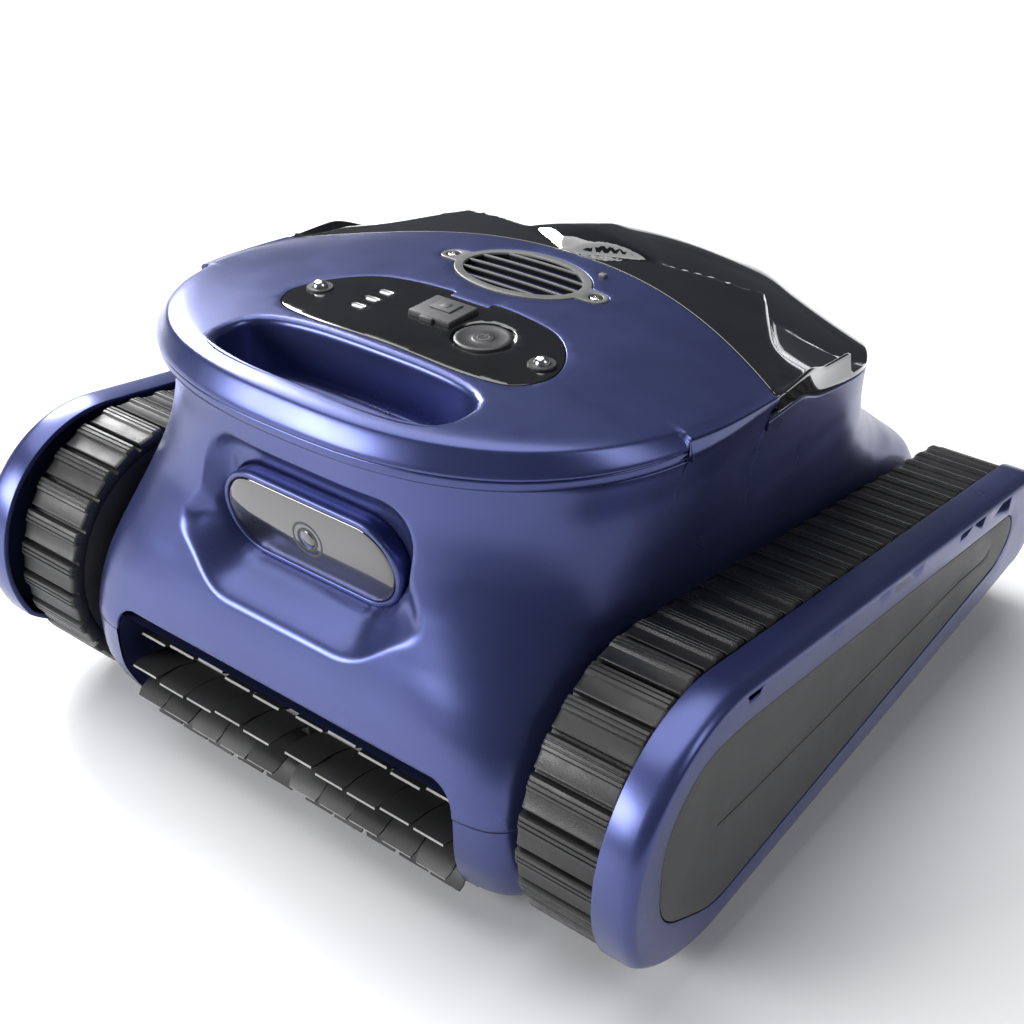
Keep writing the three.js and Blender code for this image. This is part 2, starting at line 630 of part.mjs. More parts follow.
function addDeck() {
  const skirt = [
    planRing(DECK_LEVEL, LIP_SEAM_Z - 20, 0),
    planRing(DECK_LEVEL, LIP_SEAM_Z, 0),
    planRing(DECK_LEVEL, LIP_SEAM_Z + 5, 3.2),
  ];
  const crease = planRing(DECK_LEVEL, 0, CREASE_INSET);
  const fractions = [1, 0.94, 0.8, 0.6, 0.35];
  const outer = cap(crease, DECK_CENTRE_Y, fractions, deckHeight, skirt);
  const under = planRing(DECK_LEVEL, 0, CREASE_INSET + 1);
  const roof = cap(under, DECK_CENTRE_Y, [1, 0.7, 0.35], (x, y) => deckHeight(x, y) - DECK_WALL,
    [planRing(DECK_LEVEL, LIP_SEAM_Z - 30, WALL)]);
  const seam = alongX(seamCut(GAP, -GAP), -300, 300);
  const tub = alongZ(handleOutline(3), DECK_Z - HANDLE_DEPTH - 3, DECK_Z - DECK_WALL + 1)
    .subtract(alongZ(handleOutline(0), DECK_Z - HANDLE_DEPTH, DECK_Z + 10));
  const frontLip = box(-300, 300, BODY_FRONT - 60, STEP_Y - GAP, 0, LIP_SEAM_Z + GAP);
  const deck = outer.subtract(roof)
    .intersect(seam)
    .subtract(frontLip)
    .subtract(behindBorder(-GAP))
    .subtract(alongZ(handleOutline(0), DECK_Z - 20, DECK_Z + 10))
    .add(tub)
    .subtract(alongZ(panelOutline(0), PANEL_TOP - PANEL_THICKNESS - GAP, DECK_Z + 10))
    .subtract(panelHoles(1))
    .subtract(ventOutline(GAP).intersect(box(-200, 200, -300, 300, VENT_SEAT, 300)))
    .subtract(ventBore(4))
    .subtract(bothFlanks(rodZ(2.1, VENT_SCREW_X, VENT_Y, 200, 300, 12)));
  place("deck_cover", deck, BLUE);

  const ring = loft([
    planRing(DECK_LEVEL, LIP_BOTTOM_Z + GAP, 1.5),
    planRing(DECK_LEVEL, LIP_BOTTOM_Z + 2, 0),
    planRing(DECK_LEVEL, LIP_SEAM_Z, 0),
  ]);
  const inside = loft([
    planRing(DECK_LEVEL, LIP_BOTTOM_Z - 1, 13),
    planRing(DECK_LEVEL, LIP_SEAM_Z + 1, 13),
  ]);
  const behindStep = box(-300, 300, STEP_Y - GAP, 400, 0, 400);
  place("handle_ring", ring.subtract(inside).subtract(behindStep), BLUE);
}

function addPanel() {
  const panel = alongZ(panelOutline(GAP), PANEL_TOP - PANEL_THICKNESS, PANEL_TOP);
  place("control_panel", panel.subtract(panelHoles(0.5)), GLOSS_BLACK);

  const z = DECK_Z;
  const button = [[0, z - 6], [BUTTON_RADIUS, z - 6], [BUTTON_RADIUS, z + 0.4],
    [BUTTON_RADIUS - 0.8, z + 1.2], [0, z + 1.2]].map(([r, h]) => new THREE.Vector2(r, h));
  const turned = solid(new THREE.LatheGeometry(button, 28).rotateX(Math.PI / 2));
  place("power_button", turned.translate([BUTTON.x, BUTTON.y, 0]), CHARCOAL);

  const boardTop = z - 22;
  place("main_board", box(-60, 60, STUD.y - 24, STUD.y + 40, boardTop - 1.6, boardTop), BOARD_GREEN);
  const coil = [];
  const turns = 3;
  for (let i = 0; i <= turns * 10; i++) {
    const angle = (2 * Math.PI * i) / 10;
    const height = boardTop + 1.1 + ((z - 6 - BUTTON_TRAVEL - boardTop - 1) * i) / (turns * 10);
    coil.push(new THREE.Vector3(BUTTON.x + 6 * Math.cos(angle), BUTTON.y + 6 * Math.sin(angle), height));
  }
  const wire = new THREE.ExtrudeGeometry(circleSection(0.7, 6), {
    steps: turns * 10, bevelEnabled: false, extrudePath: new THREE.CatmullRomCurve3(coil),
  });
  place("button_spring", solid(wire), STEEL);

  LED_ROWS.forEach((led, i) => {
    const guide = box(led.x - 3.5, led.x + 3.5, led.y - 1, led.y + 1, z - 6, PANEL_TOP + 0.3);
    place("led_guide_" + (i + 1), guide, WHITE_PLASTIC);
  });

  const flapBottom = PANEL_TOP + GAP;
  const middleY = (PORT.y0 + PORT.y1) / 2;
  const flap = box(-PORT.halfX, PORT.halfX, PORT.y0, PORT.y1, flapBottom, flapBottom + 3.2)
    .add(rodZ(5, 0, middleY, flapBottom - 2.5, flapBottom + 1, 16));
  place("charging_port_cover", flap, RUBBER);
  const socket = rodZ(7.4, 0, middleY, boardTop + GAP, z - 6, 16)
    .subtract(rodZ(5, 0, middleY, z - 14, z, 16));
  place("charging_socket", socket, BLACK_PLASTIC);

  const stud = [[0, 0], [5.4, 0], [5.4, 0.8], [4, 1.4], [3.4, 2.6], [1.8, 3.2], [0, 3.2]]
    .map(([r, h]) => new THREE.Vector2(r, h));
  const head = solid(new THREE.LatheGeometry(stud, 16).rotateX(Math.PI / 2));
  placePair("panel_stud", head.translate([STUD.x, STUD.y, PANEL_TOP + GAP]), STEEL);
}

function circleSection(radius, sides) {
  const points = [];
  for (let i = 0; i < sides; i++) {
    const angle = (2 * Math.PI * i) / sides;
    points.push([radius * Math.cos(angle), radius * Math.sin(angle)]);
  }
  return polygon(points);
}

// ---- Pump under the outlet grille ----
function addPump() {
  const seat = VENT_SEAT + GAP;
  let grille = ventOutline(0).subtract(ventBore(4.5));
  const pitch = (2 * (VENT_RADIUS_Y - 4.5)) / VENT_SLATS;
  for (let i = 0; i < VENT_SLATS; i++) {
    const y = VENT_Y + (i - (VENT_SLATS - 1) / 2) * pitch;
    const slat = box(-VENT_RADIUS_X, VENT_RADIUS_X, y - 0.8, y + 0.8, 0, 400);
    grille = grille.add(slat.intersect(ventBore(2)));
  }
  grille = grille.subtract(bothFlanks(rodZ(2.1, VENT_SCREW_X, VENT_Y, 0, 400, 12)))
    .intersect(box(-200, 200, -300, 300, seat, VENT_TOP));
  place("vent_grille", grille, GREY_PLASTIC);
  const screw = [[0, -9], [1.8, -9], [1.8, 0.3], [3.6, 0.3], [3.2, 1.4], [1.6, 2.1], [0, 2.1]]
    .map(([r, h]) => new THREE.Vector2(r, h));
  const head = solid(new THREE.LatheGeometry(screw, 14).rotateX(Math.PI / 2));
  placePair("vent_screw", head.translate([VENT_SCREW_X, VENT_Y, VENT_TOP]), STEEL);

  const top = DECK_Z - DECK_WALL - 3;
  const bottom = top - 78;
  const band = (z0, z1) => box(-200, 200, -400, 400, z0, z1);
  const housing = ventBore(3).intersect(band(bottom, top))
    .subtract(ventBore(6).intersect(band(bottom + 3, 400)))
    .subtract(rodZ(6, 0, VENT_Y, 0, 400, 16))
    .subtract(box(-18, 18, VENT_Y + 5, VENT_Y + 60, bottom + 3, bottom + 26));
  place("pump_housing", housing, BLACK_PLASTIC);
  const motor = rodZ(19, 0, VENT_Y, bottom - 46, bottom - GAP, 24)
    .add(rodZ(3, 0, VENT_Y, bottom - 5, bottom + 34, 12));
  place("pump_motor", motor, STEEL);
  const hub = rodZ(6, 0, VENT_Y, bottom + 30, bottom + 44, 16);
  let impeller = hub;
  for (let i = 0; i < 5; i++) {
    const blade = box(4, IMPELLER_RADIUS, -0.9, 0.9, -5, 5).rotate([35, 0, 0]).rotate([0, 0, 72 * i]);
    impeller = impeller.add(blade.translate([0, VENT_Y, bottom + 37]));
  }
  const shaftHole = rodZ(3 + GAP, 0, VENT_Y, bottom + 20, bottom + 34 + GAP, 12);
  place("impeller", impeller.subtract(shaftHole), BLACK_PLASTIC);
}

// ---- Filter basket ----
const BASKET = { y0: VENT_Y + 56, y1: BODY_REAR - 78, z0: 64, z1: 166, halfX: BODY_HALF_WIDTH - 43 };

function basketRing(z, inset) {
  const ring = [];
  const middle = (BASKET.y0 + BASKET.y1) / 2;
  for (let i = 0; i < 28; i++) {
    const angle = (2 * Math.PI * (i + 0.5)) / 28;
    const p = superPoint(BASKET.halfX - inset, (BASKET.y1 - BASKET.y0) / 2 - inset, 5, angle);
    ring.push(new THREE.Vector3(p.x, middle + p.y, z));
  }
  return ring;
}

function addBasket() {
  const { y0, y1, z0, z1, halfX } = BASKET;
  const wall = 2.4;
  const tub = loft([basketRing(z0, 6), basketRing(z1 - 8, 2), basketRing(z1 - 7.9, -3), basketRing(z1, -3)])
    .subtract(loft([basketRing(z0 + wall, 6 + wall), basketRing(z1 + 1, 2 + wall)]));
  const inlet = box(INTAKE.x - INTAKE.halfX + 2, INTAKE.x + INTAKE.halfX - 2,
    INTAKE.y - INTAKE.halfY + 2, INTAKE.y + INTAKE.halfY - 2, z0 - 5, z0 + wall + 1);
  const sideWindow = (z) => box(-300, 300, y0 + 16, y1 - 16, z, z + 30);
  const endWindow = (x) => box(x - 18, x + 18, y0 - 20, y1 + 20, z0 + 16, z1 - 20);
  let basket = tub.subtract(bothFlanks(inlet)).subtract(sideWindow(z0 + 16)).subtract(sideWindow(z0 + 54));
  for (const x of [-0.62 * halfX, 0, 0.62 * halfX]) basket = basket.subtract(endWindow(x));
  place("filter_basket", basket, WHITE_PLASTIC);
  const liner = loft([basketRing(z0 + wall + GAP, 9), basketRing(z1 - 10, 5)])
    .subtract(loft([basketRing(z0 + wall + GAP + 0.8, 9.8), basketRing(z1, 5.6)]));
  place("filter_mesh", liner.subtract(bothFlanks(inlet.translate([0, 0, 3]))), MESH_GREY);
}

// ---- Lid ----
const LID_WALL = 3;
const LID_POINTS = 44;
const LID_REAR_Y = REAR_AXLE.y + 1.5;
const LID_CENTRE_Y = REAR_AXLE.y - 95;

function smoothStep(from, to, value) {
  const t = Math.min(1, Math.max(0, (value - from) / (to - from)));
  return t * t * (3 - 2 * t);
}

// Straight runs between (position, height) pairs.
function heightAt(points, at) {
  const last = points.length - 1;
  let i = 0;
  while (i < last - 1 && at > points[i + 1][0]) i++;
  const [y0, z0] = points[i];
  const [y1, z1] = points[i + 1];
  return z0 + ((z1 - z0) * (at - y0)) / (y1 - y0);
}

const LID_SPINE = [
  [LIP_FRONT + 150, LID_PEAK_Z - 15],
  [BORDER_Y, LID_PEAK_Z - 6],
  [BORDER_Y + 20, LID_PEAK_Z],
  [REAR_AXLE.y - 84, LID_PEAK_Z - 13],
  [REAR_AXLE.y - 40, LID_PEAK_Z - 34],
  [REAR_AXLE.y - 19, LID_PEAK_Z - 47],
  [REAR_AXLE.y - 5, LID_PEAK_Z - 62],
  [LID_REAR_Y, LID_PEAK_Z - 82],
];
const RIM_HEIGHT = 16;
const SCOOP = { y0: LID_CORNER_Y + 6, y1: LID_CORNER_Y + 96, reach: 46, depth: 13 };

function lidHalfWidth(y) {
  const start = LID_CORNER_Y + 30;
  const back = Math.min(1, Math.max(0, (y - start) / (LID_REAR_Y - start)));
  return DECK_HALF_WIDTH * (1 - back ** 2.6) ** (1 / 2.6);
}

function lidHeight(x, y) {
  const seam = heightAt(SEAM_OVER_FLANK.slice(4), y);
  const rim = Math.min(seam + RIM_HEIGHT, heightAt(LID_SPINE, y));
  const across = Math.min(1, Math.abs(x) / Math.max(lidHalfWidth(y), 1));
  const dome = rim + (heightAt(LID_SPINE, y) - rim) * (1 - across ** 2.5) ** 0.55;
  const inward = lidHalfWidth(y) - Math.abs(x);
  const along = smoothStep(SCOOP.y0 - 10, SCOOP.y0 + 10, y) * (1 - smoothStep(SCOOP.y1 - 14, SCOOP.y1, y));
  const acrossScoop = smoothStep(4, 7, inward) * (1 - smoothStep(SCOOP.reach - 12, SCOOP.reach, inward));
  return Math.max(dome - SCOOP.depth * along * acrossScoop, seam + 2 * LID_WALL);
}

function addLid() {
  const outline = [];
  for (let i = 0; i < LID_POINTS; i++) {
    const angle = (2 * Math.PI * (i + 0.5)) / LID_POINTS;
    const start = LID_CORNER_Y + 30;
    const rear = Math.sin(angle) > 0;
    const p = superPoint(DECK_HALF_WIDTH, rear ? LID_REAR_Y - start : 46, rear ? 2.6 : 5, angle);
    outline.push(new THREE.Vector3(p.x, start + p.y, 0));
  }
  const atHeight = (z, inset) =>
    outline.map((p) => {
      const scale = 1 - inset / Math.hypot(p.x, p.y - LID_CENTRE_Y);
      return new THREE.Vector3(p.x * scale, LID_CENTRE_Y + (p.y - LID_CENTRE_Y) * scale, z);
    });
  const outer = cap(outline, LID_CENTRE_Y, [1, 0.96, 0.9, 0.8, 0.62, 0.35], lidHeight, [atHeight(90, 0)]);
  const inner = cap(atHeight(0, LID_WALL), LID_CENTRE_Y, [1, 0.93, 0.8, 0.62, 0.35],
    (x, y) => lidHeight(x, y) - LID_WALL, [atHeight(80, LID_WALL)]);
  const above = alongX(seamCut(GAP, 0), -300, 300);
  const knuckle = box(HINGE_X - 8 + GAP, HINGE_X - GAP, LID_REAR_Y - 6, LID_HINGE.y,
    LID_HINGE.z - 4, LID_HINGE.z + 3.8)
    .add(rodX(KNUCKLE_RADIUS, HINGE_X - 8 + GAP, HINGE_X - GAP, LID_HINGE.y, LID_HINGE.z, 16))
    .subtract(rodX(HINGE_PIN_RADIUS + GAP, 0, 200, LID_HINGE.y, LID_HINGE.z, 12));
  const lid = outer.subtract(inner).intersect(above).intersect(behindBorder(GAP));
  place("lid", lid.add(bothFlanks(knuckle)), SMOKED);
  placePair("lid_hinge_pin",
    rodX(HINGE_PIN_RADIUS, HINGE_X - 14, HINGE_X + 6, LID_HINGE.y, LID_HINGE.z, 12), STEEL);
}

// ---- Battery ----
function addBattery() {
  const { halfX, y0, y1, z0, z1 } = BATTERY;
  const cells = new THREE.Shape();
  const pitch = (y1 - y0) / 3;
  cells.moveTo(y0 + pitch / 2, z0);
  cells.lineTo(y1 - pitch / 2, z0);
  for (let i = 2; i >= 0; i--) {
    const middle = y0 + pitch * (i + 0.5);
    cells.absarc(middle, z1 - pitch / 2, pitch / 2, 0, Math.PI, false);
  }
  cells.absarc(y0 + pitch / 2, z0 + pitch / 2, pitch / 2, Math.PI, 1.5 * Math.PI, false);
  place("battery_pack", alongX(cells, -halfX, halfX, { curveSegments: 8 }), CELL_WRAP);
}

// ---- Tracks ----
const BELT_RADII = [FRONT_WHEEL_RADIUS + GAP, REAR_WHEEL_RADIUS + GAP];

// The belt's line: round the front wheel, along the floor, round the rear wheel and back over the
// top. Gives the point at a distance along the belt, raised from the wheels' surface.
function beltPath() {
  const [front, rear] = BELT_RADII.map((r) => r + BELT_THICKNESS);
  const dz = REAR_AXLE.z - FRONT_AXLE.z;
  const span = Math.hypot(WHEELBASE, dz);
  const tilt = Math.atan2(dz, WHEELBASE);
  const spread = Math.acos((front - rear) / span);
  const straight = Math.sqrt(span * span - (front - rear) ** 2);
  const top = tilt + spread; // bearing of the upper tangent point
  const low = tilt - spread;
  const frontArc = front * (2 * Math.PI - (top - low));
  const rearArc = rear * (top - low);
  const total = frontArc + rearArc + 2 * straight;
  function at(distance, raise) {
    let s = ((distance % total) + total) % total;
    const polar = (axle, radius, angle) => [
      axle.y + (radius + raise) * Math.cos(angle),
      axle.z + (radius + raise) * Math.sin(angle),
    ];
    if (s < frontArc) return polar(FRONT_AXLE, front, top + s / front);
    s -= frontArc;
    if (s < straight) {
      const [y, z] = polar(FRONT_AXLE, front, low);
      return [y - s * Math.sin(low), z + s * Math.cos(low)];
    }
    s -= straight;
    if (s < rearArc) return polar(REAR_AXLE, rear, low + s / rear);
    s -= rearArc;
    const [y, z] = polar(REAR_AXLE, rear, top);
    return [y - s * Math.sin(top), z + s * Math.cos(top)];
  }
  return { at, total, frontArc, straight, rearArc };
}

function addTracks() {
  const path = beltPath();
  const pitch = path.total / LUG_COUNT;
  const start = path.frontArc + path.straight / 2; // a lug stands here, under the middle of the robot
  const outline = [];
  for (let i = 0; i < LUG_COUNT; i++) {
    const middle = start + i * pitch;
    const half = LUG_WIDTH / 2;
    outline.push(path.at(middle - half - 0.8, 0), path.at(middle - half, LUG_HEIGHT));
    outline.push(path.at(middle + half, LUG_HEIGHT), path.at(middle + half + 0.8, 0));
  }
  const shape = polygon(outline);
  const inside = [];
  const arcs = [[0, path.frontArc, 22], [path.frontArc + path.straight, path.rearArc, 14]];
  for (const [from, length, count] of arcs) {
    for (let i = 0; i <= count; i++) inside.push(path.at(from + (length * i) / count, -BELT_THICKNESS));
  }
  shape.holes.push(new THREE.Path(inside.map(([y, z]) => new THREE.Vector2(y, z))));
  placePair("track_belt", alongX(shape, BELT_INNER_X, BELT_OUTER_X), RUBBER);
}

// A gear outline of a pitch radius; tooth zero, or gap zero on an internal ring, points along angle.
function gearShape(pitchRadius, teeth, angle, rise, fall, slim) {
  const points = [];
  const step = (2 * Math.PI) / teeth;
  for (let i = 0; i < teeth; i++) {
    const middle = angle + i * step;
    points.push([pitchRadius - fall, middle - 0.28 * step], [pitchRadius + rise, middle - slim * step]);
    points.push([pitchRadius + rise, middle + slim * step], [pitchRadius - fall, middle + 0.28 * step]);
  }
  return polygon(points.map(([r, a]) => [r * Math.cos(a), r * Math.sin(a)]));
}

const WHEEL_CLEAR = 1; // wheel's sides in from the belt's edges

function addWheels() {
  const x0 = BELT_INNER_X + WHEEL_CLEAR;
  const x1 = BELT_OUTER_X - WHEEL_CLEAR;
  const ringPitch = GEAR_CENTRES + GEAR_PITCH_RADIUS;
  // The pocket is a gear outline whose outward teeth are the gaps of the ring gear.
  const pocket = alongX(gearShape(ringPitch, RING_TEETH, PINION_ANGLE, 2.2, 0.9, 0.2), x0 - 1, x0 + 14)
    .translate([0, FRONT_AXLE.y, FRONT_AXLE.z]);
  const dish = rodX(FRONT_WHEEL_RADIUS - 8, x1 - 12, x1 + 1, FRONT_AXLE.y, FRONT_AXLE.z, 24);
  const hub = rodX(AXLE_RADIUS + 5, x0, x1, FRONT_AXLE.y, FRONT_AXLE.z, 20);
  const front = rodX(FRONT_WHEEL_RADIUS, x0, x1, FRONT_AXLE.y, FRONT_AXLE.z, 40)
    .subtract(pocket).subtract(dish).add(hub)
    .subtract(rodX(AXLE_RADIUS + GAP, x0 - 5, x1 + 5, FRONT_AXLE.y, FRONT_AXLE.z));
  placePair("front_wheel", front, BLACK_PLASTIC);
  const rearDish = rodX(REAR_WHEEL_RADIUS - 7, x0 - 1, x0 + 14, REAR_AXLE.y, REAR_AXLE.z, 20);
  const rearHub = rodX(AXLE_RADIUS + 5, x0, x1, REAR_AXLE.y, REAR_AXLE.z, 20);
  const rear = rodX(REAR_WHEEL_RADIUS, x0, x1, REAR_AXLE.y, REAR_AXLE.z, 28)
    .subtract(rearDish).subtract(rearDish.translate([x1 - x0 - 13, 0, 0])).add(rearHub)
    .subtract(rodX(AXLE_RADIUS + GAP, x0 - 5, x1 + 5, REAR_AXLE.y, REAR_AXLE.z));
  placePair("rear_wheel", rear, BLACK_PLASTIC);

  const tip = COVER_INNER_X + 7;
  const inner = BODY_HALF_WIDTH - 22;
  placePair("front_axle", rodX(AXLE_RADIUS, inner, tip, FRONT_AXLE.y, FRONT_AXLE.z), STEEL);
  placePair("rear_axle", rodX(AXLE_RADIUS, inner, BELT_OUTER_X + 1, REAR_AXLE.y, REAR_AXLE.z), STEEL);
}

function addDrives() {
  const reach = BELT_INNER_X + 12;
  const motor = rodX(MOTOR_RADIUS, MOTOR.x1 - MOTOR_LENGTH, MOTOR.x1, MOTOR.y, MOTOR.z, 24)
    .add(rodX(3, MOTOR.x1 - 2, reach, MOTOR.y, MOTOR.z, 12));
  placePair("drive_motor", motor, STEEL);
  const pinion = alongX(gearShape(GEAR_PITCH_RADIUS, PINION_TEETH, PINION_ANGLE, 1.4, 1.6, 0.17),
    BELT_INNER_X + 3, reach)
    .translate([0, MOTOR.y, MOTOR.z])
    .subtract(rodX(3 + GAP, 0, 300, MOTOR.y, MOTOR.z, 12));
  placePair("drive_pinion", pinion, GREY_PLASTIC);
}

// ---- Side covers ----
function coverOutline(inset, steps = 9) {
  const front = { y: FRONT_AXLE.y - COVER_NOSE + COVER_FRONT_RADIUS, z: FRONT_AXLE.z + 5.2 };
  const rear = { y: REAR_AXLE.y + 1.5, z: REAR_AXLE.z + 22 };
  const tilt = Math.atan2(rear.z - front.z, rear.y - front.y);
  const span = Math.hypot(rear.z - front.z, rear.y - front.y);
  const top = tilt + Math.acos((COVER_FRONT_RADIUS - COVER_REAR_RADIUS) / span);
  const shape = new THREE.Shape();
  const low = front.z - 57 + inset;
  shape.absarc(front.y, front.z, COVER_FRONT_RADIUS - inset, top, Math.PI * 1.16, false);
  shape.quadraticCurveTo(front.y - 40 + inset * 0.6, low + 2, front.y - 4, low);
  shape.lineTo(rear.y + 4, rear.z - COVER_REAR_RADIUS + inset + 0.6);
  shape.absarc(rear.y, rear.z, COVER_REAR_RADIUS - inset, -Math.PI * 0.46, top, false);
  return stepped(shape, steps);
}

// A polygon whose corners [u, v, r] are each rounded off over a length r to both sides.
function eased(corners) {
  const shape = new THREE.Shape();
  corners.forEach(([u, v, r], i) => {
    const [beforeU, beforeV] = corners.at(i - 1);
    const [afterU, afterV] = corners[(i + 1) % corners.length];
    const back = new THREE.Vector2(beforeU - u, beforeV - v).setLength(r);
    const ahead = new THREE.Vector2(afterU - u, afterV - v).setLength(r);
    if (i) shape.lineTo(u + back.x, v + back.y);
    else shape.moveTo(u + back.x, v + back.y);
    shape.quadraticCurveTo(u, v, u + ahead.x, v + ahead.y);
  });
  return shape.closePath();
}

function insertOutline(inset) {
  const nose = FRONT_AXLE.y - 59 + inset;
  const tail = REAR_AXLE.y - 12 - inset;
  const low = FRONT_AXLE.z - 38 + inset;
  const high = FRONT_AXLE.z + 56.5 - inset;
  return stepped(eased([
    [nose, low + 24, 9], [nose, high - 22, 16], [nose + 26, high, 13], [nose + 57, high, 13],
    [tail - 5, FRONT_AXLE.z + 14 - inset, 7], [tail, FRONT_AXLE.z - 2, 8],
    [tail - 15, FRONT_AXLE.z - 15 + inset, 8], [nose + 44, low, 12],
  ]), 4);
}

function addSideCovers() {
  const round = 7;
  const bevel = {
    bevelEnabled: true, bevelThickness: round, bevelSize: round, bevelOffset: -round,
    bevelSegments: 2,
  };
  const floor = COVER_OUTER_X - INSERT_DEPTH - COVER_WALL;
  const keepOutboard = box(COVER_INNER_X, COVER_OUTER_X + 1, -400, 400, -10, 400);
  const shell = alongX(coverOutline(0), COVER_INNER_X - 20, COVER_OUTER_X - round, bevel)
    .intersect(keepOutboard)
    .subtract(alongX(coverOutline(COVER_WALL, 5), COVER_INNER_X - 5, COVER_OUTER_X - round - 1))
    .subtract(alongX(coverOutline(round + 1, 5), COVER_INNER_X - 5, floor))
    .subtract(alongX(insertOutline(0), COVER_OUTER_X - INSERT_DEPTH, COVER_OUTER_X + 5));
  const socket = rodX(AXLE_RADIUS + GAP, COVER_INNER_X - 1, COVER_INNER_X + 7 + GAP,
    FRONT_AXLE.y, FRONT_AXLE.z);
  const boss = rodX(AXLE_RADIUS + 4, COVER_INNER_X, floor + 1, FRONT_AXLE.y, FRONT_AXLE.z)
    .subtract(socket);
  placePair("side_cover", shell.add(boss), BLUE);
  const insert = alongX(insertOutline(GAP), COVER_OUTER_X - INSERT_DEPTH + GAP, COVER_OUTER_X - 0.1);
  placePair("side_insert", insert, CHARCOAL);
}

// ---- Brush ----
const GEAR_LINE = Math.hypot(BRUSH_AHEAD, FRONT_AXLE.z - BRUSH_Z);
const GEAR_BEARING = Math.atan2(FRONT_AXLE.z - BRUSH_Z, BRUSH_AHEAD); // brush axis to axle
const GEAR_SUM = AXLE_GEAR_TEETH + BRUSH_GEAR_TEETH;

function addBrush() {
  const vanes = [];
  for (let i = 0; i < BRUSH_VANES; i++) {
    const root = (2 * Math.PI * (i + 0.5)) / BRUSH_VANES;
    const spots = [
      [BRUSH_CORE_RADIUS, -0.12], [BRUSH_RADIUS * 0.62, -0.02], [BRUSH_RADIUS, 0.24],
      [BRUSH_RADIUS, 0.31], [BRUSH_RADIUS * 0.62, 0.1], [BRUSH_CORE_RADIUS, 0.12],
    ];
    for (const [r, lead] of spots) vanes.push([r * Math.cos(root + lead), r * Math.sin(root + lead)]);
  }
  const gap = 4; // half of the space that the centre bracket takes
  const roller = alongX(polygon(vanes), gap, BRUSH_HALF_LENGTH)
    .translate([0, BRUSH_Y, BRUSH_Z])
    .subtract(rodX(SHAFT_RADIUS + GAP, 0, 300, BRUSH_Y, BRUSH_Z, 14));
  placePair("brush_roller", roller, RUBBER);

  const gearX = BODY_HALF_WIDTH - 16;
  place("brush_shaft", rodX(SHAFT_RADIUS, -BAY_HALF_LENGTH - 3, gearX + 7, BRUSH_Y, BRUSH_Z, 14), STEEL);

  const arm = alongX(polygon([
    [BRUSH_Y - 6, BRUSH_Z - 6], [BRUSH_Y + 6, BRUSH_Z - 8],
    [BRUSH_Y + BAY_RADIUS - GAP - 0.5, BRUSH_Z - 3], [BRUSH_Y + BAY_RADIUS - GAP - 0.5, BRUSH_Z + 3],
    [BRUSH_Y + 6, BRUSH_Z + 8], [BRUSH_Y - 6, BRUSH_Z + 6],
  ]), -gap + 1.2, gap - 1.2);
  place("brush_bracket",
    arm.subtract(rodX(SHAFT_RADIUS + GAP, -20, 20, BRUSH_Y, BRUSH_Z, 14)), GREY_PLASTIC);

  const tooth = [1.5, 1.9, 0.15];
  const brushGear = gearShape((GEAR_LINE * BRUSH_GEAR_TEETH) / GEAR_SUM, BRUSH_GEAR_TEETH,
    GEAR_BEARING, ...tooth);
  const axleGear = gearShape((GEAR_LINE * AXLE_GEAR_TEETH) / GEAR_SUM, AXLE_GEAR_TEETH,
    GEAR_BEARING + Math.PI + Math.PI / AXLE_GEAR_TEETH, ...tooth);
  const gear = (shape, axis, bore) =>
    alongX(shape, gearX, gearX + GEAR_WIDTH).translate([0, axis.y, axis.z])
      .subtract(rodX(bore + GAP, 0, 300, axis.y, axis.z, 16));
  place("brush_gear", gear(brushGear, { y: BRUSH_Y, z: BRUSH_Z }, SHAFT_RADIUS), GREY_PLASTIC);
  place("axle_gear", gear(axleGear, FRONT_AXLE, AXLE_RADIUS), GREY_PLASTIC);
}

addLowerHousing();
addIntakes();
addUpperShell();
addCamera();
addDeck();
addPanel();
addPump();
addBasket();
addLid();
addBattery();
addTracks();
addWheels();
addDrives();
addSideCovers();
addBrush();

export default robot;
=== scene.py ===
import json
import math
import bpy
import bmesh
import numpy as np
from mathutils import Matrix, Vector
from mathutils.geometry import delaunay_2d_cdt


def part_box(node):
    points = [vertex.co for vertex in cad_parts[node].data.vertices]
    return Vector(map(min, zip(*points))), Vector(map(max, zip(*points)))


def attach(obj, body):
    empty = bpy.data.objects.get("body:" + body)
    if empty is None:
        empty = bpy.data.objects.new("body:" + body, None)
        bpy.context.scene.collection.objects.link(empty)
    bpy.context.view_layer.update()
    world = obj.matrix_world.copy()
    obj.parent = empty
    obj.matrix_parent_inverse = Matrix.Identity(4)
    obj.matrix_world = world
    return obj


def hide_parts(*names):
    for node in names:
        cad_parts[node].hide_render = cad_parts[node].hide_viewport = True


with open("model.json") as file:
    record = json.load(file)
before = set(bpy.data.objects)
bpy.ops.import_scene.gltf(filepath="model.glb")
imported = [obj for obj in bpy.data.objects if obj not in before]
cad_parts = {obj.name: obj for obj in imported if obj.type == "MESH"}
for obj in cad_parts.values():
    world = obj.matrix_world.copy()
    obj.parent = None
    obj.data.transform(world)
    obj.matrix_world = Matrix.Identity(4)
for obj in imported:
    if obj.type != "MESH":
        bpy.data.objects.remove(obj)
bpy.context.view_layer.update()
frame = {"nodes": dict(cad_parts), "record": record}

MM = 0.001


def cad(node):
    """Lowest and highest corner of a CAD node in millimetres."""
    low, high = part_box(node)
    return np.array(low) / MM, np.array(high) / MM


